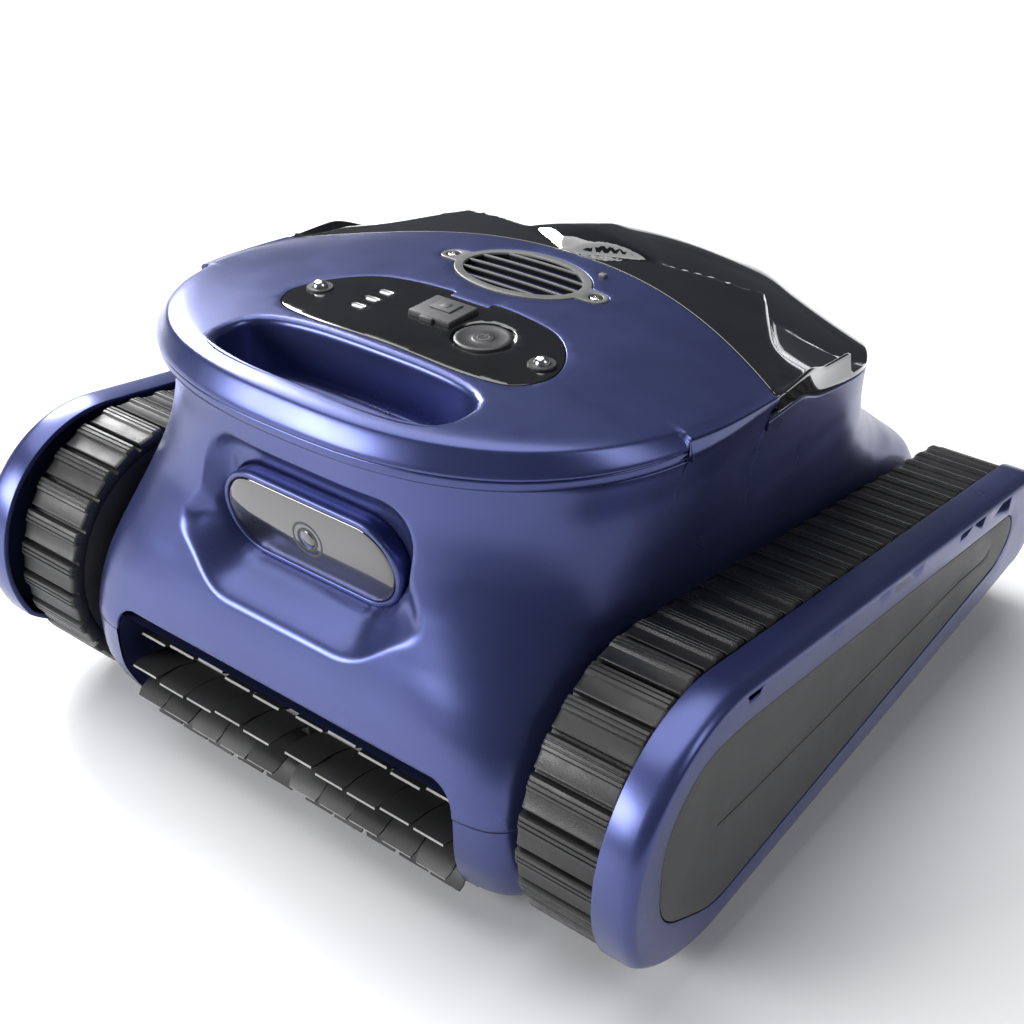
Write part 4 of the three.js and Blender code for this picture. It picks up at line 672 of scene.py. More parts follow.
def intake_holes():
    """Openings in the floor over the two intake flaps."""
    holes = []
    for flap in ("intake_flap_left", "intake_flap_right"):
        low, high = cad(flap)
        x0, y0, x1, y1 = low[0] + 1, low[1] + 1, high[0] - 1, high[1] - 1
        xs, ys = np.linspace(x0, x1, 14), np.linspace(y0, y1, 6)
        holes.append(np.array([(x, y0) for x in xs[:-1]] + [(x1, y) for y in ys[:-1]]
                              + [(x, y1) for x in xs[::-1][:-1]] + [(x0, y) for y in ys[::-1][:-1]]))
    return holes


def deck_top(x, y):
    return DECK_Z - (3 + 11.5 * ((y - LIP_FRONT) / 160) ** 2) * np.abs(x / 150) ** 2.2


def border(x):
    return BORDER_Y - 0.5 - 45.5 * np.abs(x / 148) ** 2.2


def lip_row(inset, end_y=None, count=150, flank=26):
    """Open row round the deck from its right end round the front to its left end."""
    quarter = super_quarter(SIDE, DECK_CENTRE_Y - LIP_FRONT, 2.5, np.linspace(0, 1, count))
    tangent = np.gradient(quarter, axis=0)
    tangent /= np.hypot(*tangent.T)[:, None]
    normal = np.column_stack([-tangent[:, 1], tangent[:, 0]])
    normal *= np.sign((normal * quarter).sum(1))[:, None]
    normal[0], normal[-1] = [0, 1], [1, 0]
    quarter = quarter - normal * inset
    half = np.column_stack([quarter[:, 0], DECK_CENTRE_Y - quarter[:, 1]])
    if end_y is None:
        x = half[-1, 0]
        rear = float(border(x))
        half = np.vstack([half, np.column_stack([np.full(flank, x),
                                                 np.linspace(half[-1, 1], rear, flank + 1)[1:]])])
    else:
        keep = half[:, 1] < end_y
        last = half[keep][-1]
        after = half[~keep][0]
        t = (end_y - last[1]) / (after[1] - last[1])
        half = np.vstack([half[keep], last + (after - last) * t])
    return np.vstack([half[::-1], half[1:] * [-1, 1]])


def seam_under(row):
    """Height of the seam under each point of a deck row."""
    return np.where(row[:, 1] < STEP_Y, LIP_SEAM, np.vectorize(seam_height)(np.maximum(row[:, 1], STEP_Y)))


def spline_loop(points, steps=14):
    """Closed smooth curve through the points."""
    p = np.asarray(points, float)
    out = []
    for i in range(len(p)):
        a, b, c, d = p[i - 1], p[i], p[(i + 1) % len(p)], p[(i + 2) % len(p)]
        k1 = np.hypot(*(c - b)) ** 0.5
        k0, k2 = np.hypot(*(b - a)) ** 0.5, np.hypot(*(d - c)) ** 0.5
        m1 = ((b - a) / k0 - (c - a) / (k0 + k1) + (c - b) / k1) * k1
        m2 = ((c - b) / k1 - (d - b) / (k1 + k2) + (d - c) / k2) * k1
        for t in np.arange(steps) / steps:
            h = (2 * t**3 - 3 * t**2 + 1, t**3 - 2 * t**2 + t, -2 * t**3 + 3 * t**2, t**3 - t**2)
            out.append(b * h[0] + m1 * h[1] + c * h[2] + m2 * h[3])
    return np.array(out)


def rounded_polygon(corners, steps=6):
    """Closed loop from (u, v, r) corners, each eased over the length r."""
    corners = np.asarray(corners, float)
    out = []
    for i, (u, v, r) in enumerate(corners):
        here = np.array([u, v])
        back = corners[i - 1][:2] - here
        ahead = corners[(i + 1) % len(corners)][:2] - here
        start, end = here + back / np.hypot(*back) * r, here + ahead / np.hypot(*ahead) * r
        for t in np.linspace(0, 1, steps):
            out.append(start * (1 - t) ** 2 + here * 2 * t * (1 - t) + end * t**2)
    return np.array(out)


NOTCH_X, NOTCH_HALF, NOTCH_DEPTH = (port_low[0] + port_high[0]) / 2 + 1.0, 12.5, 5.0


def panel_loop(grow=0.0):
    half, front, rear = (panel_high[0] - panel_low[0]) / 2, panel_low[1], panel_high[1]
    right = [(0, front), (0.62 * half, front - 2 + 0.8), (0.9 * half, front + 4), (half, front + 19),
             (0.93 * half, rear - 25), (0.72 * half, rear - 8), (0.42 * half, rear - 1.5), (0, rear)]
    left = [(-x, y) for x, y in right[-2:0:-1]]
    loop = resample(spline_loop(right + left), 1.4)
    loop = loop[(np.abs(loop[:, 0] - NOTCH_X) > NOTCH_HALF + 1.2) | (loop[:, 1] < -90)]
    turn = np.argmax(np.hypot(*(np.roll(loop, -1, 0) - loop).T))
    loop = np.roll(loop, -turn - 1, 0)
    cut = rear - NOTCH_DEPTH
    side = np.sign(loop[-1, 0] - NOTCH_X)
    n, r = NOTCH_HALF, 1.2
    arc = np.linspace(0, math.pi / 2, 5)
    first = [(side * (n + r - r * math.sin(a)), rear - 0.4 - r + r * math.cos(a)) for a in arc]
    deep = [(side * (n - r + r * math.cos(a)), cut + r - r * math.sin(a)) for a in arc]
    notch = first + deep + [(-x, y) for x, y in deep[::-1]] + [(-x, y) for x, y in first[::-1]]
    loop = np.vstack([loop, np.array(notch) + [NOTCH_X, 0]])
    return offset(loop, grow) if grow else loop


def vent_loop(grow=0.0, count=260):
    """Round plate with an ear on each side, seen from above."""
    a = np.linspace(0, 2 * math.pi, count, endpoint=False)
    direction = np.column_stack([np.cos(a), np.sin(a)])
    reach = np.linspace(0, 62, 1241)
    x, y = direction[:, :1] * reach, direction[:, 1:] * reach
    half_x, half_y = 39.0 + grow, (grille_high[1] - grille_low[1]) / 2 + grow
    solid = (x / half_x) ** 2 + (y / half_y) ** 2 < 1
    solid |= stadium_distance(x, y, 51.5, 6.5) < grow
    far = np.where(solid, reach, 0).max(1)
    far = (np.roll(far, 1) + 2 * far + np.roll(far, -1)) / 4
    return direction * far[:, None] + [0, VENT_Y]


def build_deck():
    parts = Parts()
    profile = [(0.6, -0.03), (0.15, 0.0), (0, 0.03), (0.12, 0.09), (0.9, 0.22), (2.1, 0.385), (3.5, 0.56),
               (4.8, 0.715), (5.6, 0.80), (6.2, 0.853), (6.8, 0.888), (7.6, 0.915), (9.5, 0.952), (12, 0.98),
               (16, 1.0)]
    rows = []
    for inset, share in profile:
        row = lip_row(inset)
        low = seam_under(lip_row(0)) + 0.5
        top = deck_top(*row.T)
        rows.append(with_z(row, low + (top - low) * share))
    parts.strip(rows, closed=False)
    base = rows[0].copy()
    under = lip_row(4)
    parts.strip([with_z(under, base[:, 2] - 0.2), base], closed=False)
    last = rows[-1][:, :2]
    x_end = last[0, 0]
    behind = np.linspace(-x_end, x_end, 90)[1:-1]
    outer = np.vstack([last, np.column_stack([behind, border(behind)])])
    pocket = [super_loop(70.6 + d, 22 + d, 3.3, 44, (0, POCKET_Y)) for d in (4.4, 3.3, 2.3, 1.4, 0.7, 0.2, 0)]
    drops = [0, 0.1, 0.4, 0.95, 1.75, 2.8, 4.0]
    panel, vent = panel_loop(0.9), vent_loop(0.9)
    guides = [super_loop(70.6 + d, 22 + d, 3.3, 44, (0, POCKET_Y)) for d in (6.2, 9)]
    sheet(parts, outer, [pocket[0], panel, vent], deck_top, 4.0, guides)
    lip = [with_z(loop, deck_top(*loop.T) - drop) for loop, drop in zip(pocket, drops)]
    for t in np.linspace(0.12, 1, 9):
        wall = super_loop(70.6 - 2.4 * t, 22 - 2.0 * t, 3.3, 44, (0, POCKET_Y))
        top = deck_top(*pocket[-1].T) - drops[-1]
        lip.append(with_z(wall, top + (POCKET_FLOOR + 6 - top) * t))
    for a in np.linspace(0, math.pi / 2, 6)[1:]:
        inset = 6 * (1 - math.cos(a))
        wall = super_loop(68.2 - inset, 20.0 - inset, 3.3, 44, (0, POCKET_Y))
        lip.append(with_z(wall, POCKET_FLOOR + 6 - 6 * math.sin(a)))
    parts.strip(lip)
    parts.fan(lip[-1])
    for loop, deep in ((panel, 3.2), (vent, 3.0)):
        top = deck_top(*loop.T)
        rows = [with_z(offset(loop, -d), top - drop)
                for d, drop in ((0, 0), (0.3, 0.08), (0.5, 0.3), (0.6, 0.8))]
        rows.append(with_z(offset(loop, -0.6), top - deep))
        parts.strip(rows)
        floor = offset(loop, -0.6)
        sheet(parts, floor, [], lambda x, y, deep=deep: deck_top(x, y) - deep, 9)
    edge = np.linspace(-SIDE + 0.3, SIDE - 0.3, 140)
    line = np.column_stack([edge, border(edge)])
    inset = np.clip(SIDE - np.abs(edge), 0, 16)
    share = np.interp(inset, [0, 1.3, 3.6, 6.8, 10, 16], [0.05, 0.33, 0.58, 0.84, 0.955, 1])
    low = np.vectorize(seam_height)(np.maximum(line[:, 1], STEP_Y)) + 0.35
    top = low + (deck_top(*line.T) - low) * share
    parts.strip([with_z(line, top), with_z(line + [0, -0.3], top - 0.5), with_z(line + [0, -0.3], low - 4)],
                closed=False)
    return parts.make("deck_moulding", blue, stands_for=["deck_cover"], slot="body_blue", sharp=45)


def build_handle_ring():
    parts = Parts()
    low, high = ring_low[2], LIP_SEAM
    profile = [(14, low + 1.2), (6, low + 0.1), (2.6, low), (1.4, low + 0.25), (0.6, low + 0.8),
               (0.15, low + 1.7),
               (0, low + 2.6), (0, high - 1.1), (0.15, high - 0.5), (0.5, high - 0.12), (1.0, high),
               (14, high)]
    rows = [with_z(lip_row(inset + 0.35, end_y=STEP_Y - 0.3), z) for inset, z in profile]
    parts.strip(rows, closed=False)
    for end in (0, -1):
        parts.add([r[end] for r in rows], [list(range(len(rows)))])
    return parts.make("handle_lip", blue, stands_for=["handle_ring"], slot="body_blue", sharp=45)


# ---- Basket lid ----
crown = smooth_curve([(BORDER_Y - 59, 223), (BORDER_Y, 231.6), (BORDER_Y + 10, 234.6), (BORDER_Y + 24, 236.4),
                      (BORDER_Y + 42, 236.4), (BORDER_Y + 57, 231.6), (BORDER_Y + 72, 224),
                      (BORDER_Y + 92, 212),
                      (BORDER_Y + 122, 197), (BORDER_Y + 142, 180), (BORDER_Y + 158, 158)])


CEILING_X = [0, 20, 40, 60, 80, 100, 120, 135, 150]
CEILING_Y = [40, 55, 70, 85, 100, 115, 130, 145, 160, 175]
CEILING = np.array([
    [240.3, 235.1, 229.6, 222.5, 214.9, 206.1, 197.7, 191.9, 186.0],
    [235.5, 231.0, 225.5, 219.3, 212.1, 203.9, 195.2, 189.0, 183.2],
    [230.7, 226.4, 221.4, 215.9, 209.0, 201.7, 193.0, 186.4, 180.4],
    [225.5, 221.6, 217.2, 211.8, 205.8, 198.6, 190.8, 184.2, 178.0],
    [219.3, 216.8, 212.6, 207.6, 202.2, 195.4, 188.3, 181.5, 175.0],
    [213.2, 211.7, 207.8, 203.4, 198.0, 191.7, 184.8, 180.0, 173.0],
    [206.8, 205.5, 203.0, 198.7, 190.4, 181.8, 170.8, 170.0, 168.0],
    [200.2, 199.4, 197.8, 192.2, 179.3, 172.5, 170.0, 168.0, 166.0],
    [193.6, 192.3, 189.5, 179.1, 169.1, 162.2, 162.0, 162.0, 162.0],
    [186.2, 184.5, 180.1, 167.3, 159.4, 150.0, 150.0, 150.0, 150.0]])


def ceiling_terms(ax, y):
    u, v = np.clip(ax, 0, 150) / 75 - 1, (np.clip(y, 40, 175) - 107.5) / 67.5
    return np.stack([u**i * v**j for i in range(5) for j in range(5 - i)], axis=-1)


CEILING_GRID = np.meshgrid(CEILING_X, CEILING_Y)
CEILING_FIT = np.linalg.lstsq(ceiling_terms(CEILING_GRID[0].ravel(), CEILING_GRID[1].ravel()),
                              CEILING.ravel(),
                              rcond=None)[0]


def ceiling(ax, y):
    """Greatest height of the lid: one smooth surface through the measured rows."""
    return ceiling_terms(ax, y) @ CEILING_FIT


def under(height, limit):
    """The lower of two heights, with a rounded change between them."""
    k = 9.0
    h = np.clip(0.5 + 0.5 * (limit - height) / k, 0, 1)
    return limit + (height - limit) * h - k * h * (1 - h) * 0.5


def lid_path():
    """Upper edge of the shell under the lid, from its right front corner to the rear middle."""
    line = []
    for i in range(FRONT_COUNT, TABLE.shape[1]):
        top = column_top(i)
        x, y, z = column_at(i, np.array([top]))[0]
        if y > CORNER_Y:
            line.append((x, y, z))
    line = np.array(line)
    run = np.concatenate([[0], np.cumsum(np.hypot(*np.diff(line[:, :2], axis=0).T))])
    at = np.linspace(0, run[-1], round(run[-1] / 2.5))
    line = np.column_stack([np.interp(at, run, line[:, k]) for k in range(3)])
    line[-1, 0] = 0
    return line


LID_LOW = lid_path()
RIM_HEIGHT = 16 - 5 * smoothstep(CORNER_Y + 105, CORNER_Y + 150, LID_LOW[:, 1])
LID_HIGH = LID_LOW + np.column_stack([
    (SIDE - 0.2 - LID_LOW[0, 0]) * (1 - smoothstep(CORNER_Y, CORNER_Y + 90, LID_LOW[:, 1])),
    np.zeros(len(LID_LOW)), RIM_HEIGHT])
LID_HIGH[0, 1] = border(LID_HIGH[0, 0]) + 0.8
RISE = np.maximum.accumulate(LID_HIGH[:, 1] + np.arange(len(LID_HIGH)) * 1e-6)


def lid_top(x, y):
    """Height of the lid: a dome, a shelf and a scoop on each side in front of a sloping ridge."""
    ax = np.abs(x)
    rim = np.interp(y, RISE, LID_HIGH[:, 2])
    half = np.maximum(np.interp(y, RISE, LID_HIGH[:, 0]), 1)
    crease = np.interp(ax, [0, 17, 41, 68, 90, 97, 100],
                       [BORDER_Y + 0.5, BORDER_Y + 13, BORDER_Y + 25, BORDER_Y + 35,
                                                           BORDER_Y + 40, BORDER_Y + 45, BORDER_Y + 52])
    edge_x = np.minimum(np.interp(y, [BORDER_Y + 57, BORDER_Y + 92, BORDER_Y + 122, BORDER_Y + 154],
                                  [99, 80, 58, 8]),
                        half)
    within = np.minimum((y - crease) * 0.9, edge_x - ax)
    high = crown(y)
    fall = 3.0 * np.minimum(ax / 80, 1.3) ** 2.2
    shoulder = 4.6 * smoothstep(10, 70, ax) * (1 - np.clip(within / 15, 0, 1)) ** 2
    dome = under(high - fall - shoulder, ceiling(ax, y))
    start = border(ax)
    shelf = deck_top(ax, start) - 0.06 * (y - start)
    line = 151 - (y - CORNER_Y) * 0.63
    across = np.clip((ax - line) / np.maximum(half - line, 1), 0, 1)
    floor = rim - 4 + 8 * (1 - across) ** 1.5
    front = shelf + (floor - shelf) * smoothstep(-2, 6, ax - line)
    front = np.where(ax > line, np.minimum(front, shelf), front)
    front = front + (rim + 0.2 - front) * (1 - smoothstep(1.2, 5.0, half - ax)) * (ax > 60)
    front = front + (dome - front) * smoothstep(-4.0, 0.4, within)
    edge_high = high - 3.0 * (edge_x / 80) ** 2.2 - 4.6 * smoothstep(10, 70, edge_x)
    out = np.clip((ax - edge_x) / np.maximum(half - edge_x, 1), 0, 1)
    slope = under(edge_high + (rim - edge_high) * out ** 0.9, ceiling(ax, y))
    back = np.where(ax < edge_x, dome, slope)
    behind = smoothstep(BORDER_Y + 43, BORDER_Y + 49.5, y + 0.05 * (ax - 100))
    top = front + (back - front) * behind
    return np.maximum(top, rim - 12)


def build_lid():
    x_front = np.linspace(-LID_HIGH[0, 0], LID_HIGH[0, 0], 130)
    front = np.column_stack([x_front, border(x_front) + 0.8])
    right = LID_HIGH[1:]
    upper = np.vstack([front, right[:, :2], (right[:-1, :2] * [-1, 1])[::-1]])
    low_front = np.column_stack([x_front, border(x_front) + 0.8, lid_top(*front.T) - 7])
    low_right = LID_LOW[1:] + [0, 0, 0.6]
    lower = np.vstack([low_front, low_right, (low_right[:-1] * [-1, 1, 1])[::-1]])
    lower[0, 2] = lower[len(front) - 1, 2] = LID_LOW[0, 2] + 0.6
    lower[0, 0], lower[len(front) - 1, 0] = -LID_LOW[0, 0], LID_LOW[0, 0]
    rows = [with_z(offset(lower[:, :2], -3.4), lower[:, 2] + 1.0),
            with_z(offset(lower[:, :2], -1.2), lower[:, 2]),
            with_z(offset(lower[:, :2], -0.25), lower[:, 2] + 0.2)]
    for t in np.linspace(0, 1, 7):
        flat = lower[:, :2] + (upper - lower[:, :2]) * t
        top = lid_top(*offset(upper, -0.6).T) - 0.55
        low = lower[:, 2] + 0.7
        rows.append(with_z(flat, low + (top - low) * t))
    for d, drop in ((0.12, 0.25), (0.35, 0.08), (0.7, 0), (1.3, 0), (2.2, 0), (3.4, 0), (4.8, 0), (6.4, 0)):
        loop = offset(upper, -d)
        rows.append(with_z(loop, lid_top(*loop.T) - drop))
    parts = Parts()
    parts.strip(rows)
    loop = offset(upper, -6.4)
    sheet(parts, loop, [], lid_top, 2.6)
    return parts.make("lid_moulding", smoked, body="lid", stands_for=["lid"], slot="lid_smoked", sharp=50)


# ---- Tracks ----
FRONT_AXLE = ((front_wheel_low[1] + front_wheel_high[1]) / 2, (front_wheel_low[2] + front_wheel_high[2]) / 2)
REAR_AXLE = ((rear_wheel_low[1] + rear_wheel_high[1]) / 2, (rear_wheel_low[2] + rear_wheel_high[2]) / 2)
LUG_HEIGHT, LUGS = 5.0, 56
FRONT_BEND = FRONT_AXLE[1] - belt_low[2] - LUG_HEIGHT
REAR_BEND = REAR_AXLE[1] - belt_low[2] - LUG_HEIGHT


def belt_curve():
    dz, dy = REAR_AXLE[1] - FRONT_AXLE[1], REAR_AXLE[0] - FRONT_AXLE[0]
    span, tilt = math.hypot(dy, dz), math.atan2(dz, dy)
    spread = math.acos((FRONT_BEND - REAR_BEND) / span)
    straight = math.sqrt(span * span - (FRONT_BEND - REAR_BEND) ** 2)
    top, low = tilt + spread, tilt - spread
    front_arc, rear_arc = FRONT_BEND * (2 * math.pi - (top - low)), REAR_BEND * (top - low)
    total = front_arc + rear_arc + 2 * straight

    def at(s):
        """Place and outward direction on the belt's face at distance s."""
        s = s % total
        for axle, radius, start, length, bend in (
                (FRONT_AXLE, FRONT_BEND, top, front_arc, True),
                (FRONT_AXLE, FRONT_BEND, low, straight, False),
                (REAR_AXLE, REAR_BEND, low, rear_arc, True), (REAR_AXLE, REAR_BEND, top, straight, False)):
            if s <= length:
                break
            s -= length
        angle = start + s / radius if bend else start
        out = np.array([math.cos(angle), math.sin(angle)])
        place = np.array(axle) + out * radius
        if not bend:
            place = place + np.array([-out[1], out[0]]) * s
        return place, out

    first = front_arc + (16.0 - FRONT_AXLE[0]) - FRONT_BEND * math.cos(low)
    return at, total, first


def build_belts():
    at, total, first = belt_curve()
    pitch = total / LUGS
    lug = [(0, 0), (1.1, 0), (1.7, 4.2), (2.0, 4.85), (3.3, 5), (3.55, 4.35), (4.0, 4.35), (4.25, 5),
           (5.5, 5),
           (5.75, 4.35), (6.2, 4.35), (6.45, 5), (7.7, 4.85), (8.1, 4.1), (8.5, 3.5), (9.0, 3.45),
           (14.7, 3.45),
           (15.2, 3.7), (15.9, 3.75), (16.25, 3.5), (16.7, 0.4)]
    x0, x1 = belt_low[0], belt_high[0]
    across = [(x0 + 0.3, -3.7, 0), (x0, -3.2, 0), (x0, 0, 0.45), (x0 + 0.5, 0, 0.8), (x0 + 1.5, 0, 0.97),
              (x0 + 2.6, 0, 1), ((x0 + x1) / 2, 0, 1), (x1 - 2.6, 0, 1), (x1 - 1.5, 0, 0.97),
              (x1 - 0.5, 0, 0.8), (x1, 0, 0.45), (x1, -3.2, 0), (x1 - 0.3, -3.7, 0)]
    for side, name in ((1, "right"), (-1, "left")):
        rows = []
        for k in range(LUGS):
            for s, rise in lug:
                place, out = at(first - 4.75 + k * pitch + s * pitch / 17.3225)
                row = []
                for x, base, share in across:
                    p = place + out * (base + rise * share)
                    row.append((side * x, p[0], p[1]))
                rows.append(np.array(row))
        parts = Parts()
        parts.strip(rows + rows[:1])
        parts.make("track_" + name, track_rubber, stands_for=["track_belt_" + name], slot="track_rubber",
                   sharp=32)


# ---- Side covers ----
COVER_FRONT = (FRONT_AXLE[0] - 10, FRONT_AXLE[1] + 5.2, 70.0)
COVER_REAR = (REAR_AXLE[0] + 1.5, REAR_AXLE[1] + 22, 30.0)


def cover_loop(inset):
    fy, fz, fr = COVER_FRONT
    ry, rz, rr = COVER_REAR
    tilt = math.atan2(rz - fz, ry - fy)
    top = tilt + math.acos((fr - rr) / math.hypot(rz - fz, ry - fy))
    low = fz - 57 + inset
    a = np.linspace(top, math.pi * 1.16, 90)
    loop = [np.column_stack([fy + (fr - inset) * np.cos(a), fz + (fr - inset) * np.sin(a)])]
    start, mid, end = loop[0][-1], np.array([fy - 40 + inset * 0.6, low + 2]), np.array([fy - 4, low])
    t = np.linspace(0, 1, 30)[1:, None]
    loop.append(start * (1 - t) ** 2 + mid * 2 * t * (1 - t) + end * t**2)
    stop = np.array([ry + 4, rz - rr + inset + 0.6])
    t = np.linspace(0, 1, 70)[1:, None]
    loop.append(end * (1 - t) + stop * t)
    a = np.linspace(-math.pi * 0.46, top, 60)
    loop.append(np.column_stack([ry + (rr - inset) * np.cos(a), rz + (rr - inset) * np.sin(a)]))
    t = np.linspace(0, 1, 70)[1:-1, None]
    loop.append(loop[-1][-1] * (1 - t) + loop[0][0] * t)
    return np.vstack(loop)


def insert_loop(inset):
    nose, tail = FRONT_AXLE[0] - 59 + inset, REAR_AXLE[0] - 12 - inset
    low, high = FRONT_AXLE[1] - 38 + inset, FRONT_AXLE[1] + 56.5 - inset
    return rounded_polygon([
        (nose, low + 24, 18), (nose, high - 22, 19), (nose + 26, high, 13), (nose + 57, high, 13),
        (tail - 5, FRONT_AXLE[1] + 14 - inset, 7), (tail, FRONT_AXLE[1] - 2, 8),
        (tail - 15, FRONT_AXLE[1] - 15 + inset, 8), (nose + 44, low, 14)], 12)


def upright(loop, x, side):
    """A (y, z) loop stood up at x, on the right or left side."""
    return np.column_stack([np.broadcast_to(side * x, len(loop)), loop])


def stood(parts, flat, side):
    """Turns triangles made in (y, z) with height x into place."""
    points = np.array(flat.verts)
    parts.add(np.column_stack([side * points[:, 2], points[:, 0], points[:, 1]]), flat.faces)


ROLL = 4.6


def build_side_covers():
    outer, inner = cover_high[0], cover_low[0]
    for side, name in ((1, "right"), (-1, "left")):
        parts = Parts()
        rows = [upright(cover_loop(3.2), outer - 6, side), upright(cover_loop(3.2), inner + 0.5, side),
                upright(cover_loop(2.7), inner, side), upright(cover_loop(0.6), inner, side),
                upright(cover_loop(0.15), inner + 0.2, side), upright(cover_loop(0), inner + 0.7, side)]
        for a in np.linspace(0, math.pi / 2, 9):
            rows.append(upright(cover_loop(ROLL * (1 - math.cos(a))), outer - 7 + 7 * math.sin(a), side))
        parts.strip(rows)
        seat = [upright(insert_loop(d), x, side)
                for d, x in ((-0.6, outer), (-0.25, outer - 0.1), (0, outer - 0.4),
                                                               (0.05, outer - 3.0))]
        parts.strip(seat)
        flat = Parts()
        sheet(flat, cover_loop(ROLL), [insert_loop(-0.6)], lambda u, v: np.full(len(u), outer), 7)
        sheet(flat, insert_loop(0.05), [], lambda u, v: np.full(len(u), outer - 3.0), 14)
        sheet(flat, cover_loop(3.2), [], lambda u, v: np.full(len(u), outer - 6), 14)
        stood(parts, flat, side)
        parts.make("side_cover_moulding_" + name, blue, stands_for=["side_cover_" + name], slot="body_blue",
                   sharp=45)
        plate = Parts()
        rows = [upright(insert_loop(d), x, side) for d, x in ((0.45, outer - 2.9), (0.45, outer - 0.75),
                                                               (0.6, outer - 0.42), (0.95, outer - 0.3))]
        plate.strip(rows)
        line = groove_loop()
        flat = Parts()
        sheet(flat, insert_loop(0.95), [line], lambda u, v: np.full(len(u), outer - 0.3), 6)
        stood(plate, flat, side)
        plate.strip([upright(line, outer - 0.3, side), upright(offset(line, -0.2), outer - 0.45, side),
                     upright(offset(line, -0.3), outer - 1.3, side)])
        floor = offset(line, -0.3)
        flat = Parts()
        sheet(flat, floor, [], lambda u, v: np.full(len(u), outer - 1.3), 6)
        stood(plate, flat, side)
        plate.make("insert_plate_" + name, charcoal, stands_for=["side_insert_" + name],
                   slot="insert_charcoal",
                   sharp=40)


def groove_loop(width=1.1):
    """Long thin groove along the insert, with a small hook at its rear end."""
    y0, z0 = FRONT_AXLE[0], FRONT_AXLE[1]
    line = np.array([(y0 - 16, z0 + 11.2), (y0 + 19, z0 + 9.2), (y0 + 95, z0 + 6.2), (y0 + 227, z0 + 2.6),
                     (y0 + 257, z0 - 0.6), (y0 + 264, z0 + 0.6), (y0 + 265.5, z0 + 2.9)])
    t = np.linspace(0, 1, 70)
    run = np.concatenate([[0], np.cumsum(np.hypot(*np.diff(line, axis=0).T))])
    line = np.column_stack([np.interp(t * run[-1], run, line[:, k]) for k in range(2)])
    tangent = np.gradient(line, axis=0)
    tangent /= np.hypot(*tangent.T)[:, None]
    across = np.column_stack([-tangent[:, 1], tangent[:, 0]]) * width / 2
    return np.vstack([line + across, (line - across)[::-1]])


# ---- Brush ----
def build_brush():
    y, z = (roller_low[1] + roller_high[1]) / 2, (roller_low[2] + roller_high[2]) / 2
    tip = (roller_high[1] - roller_low[1]) / 2
    x0, x1 = roller_low[0], roller_high[0]
    vanes, fingers, core = 12, 5, 12.0
    width = (x1 - x0) / fingers
    for side, name in ((1, "right"), (-1, "left")):
        parts, tips = Parts(), Parts()
        a = np.linspace(0, 2 * math.pi, 48, endpoint=False)
        ends = [(x0, core - 0.6), (x0 + 0.6, core), (x1 - 0.6, core), (x1, core - 0.6)]
        rows = [np.column_stack([np.full(48, side * x), y + r * np.cos(a), z + r * np.sin(a)])
                for x, r in ends]
        parts.strip(rows)
        for row in (rows[0], rows[-1]):
            parts.fan(row)
        radii = np.linspace(core - 0.8, tip - 0.15, 9)
        for vane in range(vanes):
            turn = 2 * math.pi * vane / vanes + 0.13
            for finger in range(fingers):
                wave = 0.035 * math.sin(2.1 * vane + 1.7 * finger + side)
                gap = 0.3
                a0, a1 = x0 + finger * width + gap, x0 + (finger + 1) * width - gap
                loops = []
                for r in radii:
                    share = (r - core) / (tip - core)
                    thick = 2.1 - 1.0 * max(share, 0)
                    angle = turn + (0.16 + wave) * max(share, 0) ** 2 * (1 if side > 0 else 1)
                    out = np.array([math.cos(angle), math.sin(angle)])
                    over = np.array([-out[1], out[0]])
                    centre = np.array([y, z]) + out * r
                    chamfer = 1.2 if r > radii[-2] + 0.1 else 0
                    loops.append([(side * xx, *(centre + over * s * thick / 2))
                                  for xx, s in ((a0 + chamfer, -1), (a1 - chamfer, -1), (a1 - chamfer, 1),
                                                (a0 + chamfer, 1))])
                parts.strip(loops)
                parts.add(loops[-1], [[0, 1, 2, 3]])
                # A light grey sheet just off each vane tip: a painted highlight along the tip edge.
                cap = np.array(loops[-1]) + np.array([0, *(out * 0.06)])
                tips.add(cap, [[0, 1, 2, 3]])
        parts.make("brush_vanes_" + name, brush_rubber, body="brush", stands_for=["brush_roller_" + name],
                   slot="brush_rubber", sharp=35)
        tips.make("brush_vane_tip_highlights_" + name, brush_tip_highlight, body="brush", slot="brush_rubber")


# ---- Control panel ----
def plate_rows(loop, top_at, lift, deep, edge=0.35):
    """Rounded edge rows of a plate that follows the deck."""
    top = top_at(*loop.T)
    return [with_z(loop, top - deep), with_z(loop, top + lift - edge),
            with_z(offset(loop, -edge * 0.3), top + lift - edge * 0.3),
            with_z(offset(loop, -edge), top + lift)]


def ring_loop(radius, centre, count=72):
    a = np.linspace(0, 2 * math.pi, count, endpoint=False)
    return np.column_stack([centre[0] + radius * np.cos(a), centre[1] + radius * np.sin(a)])


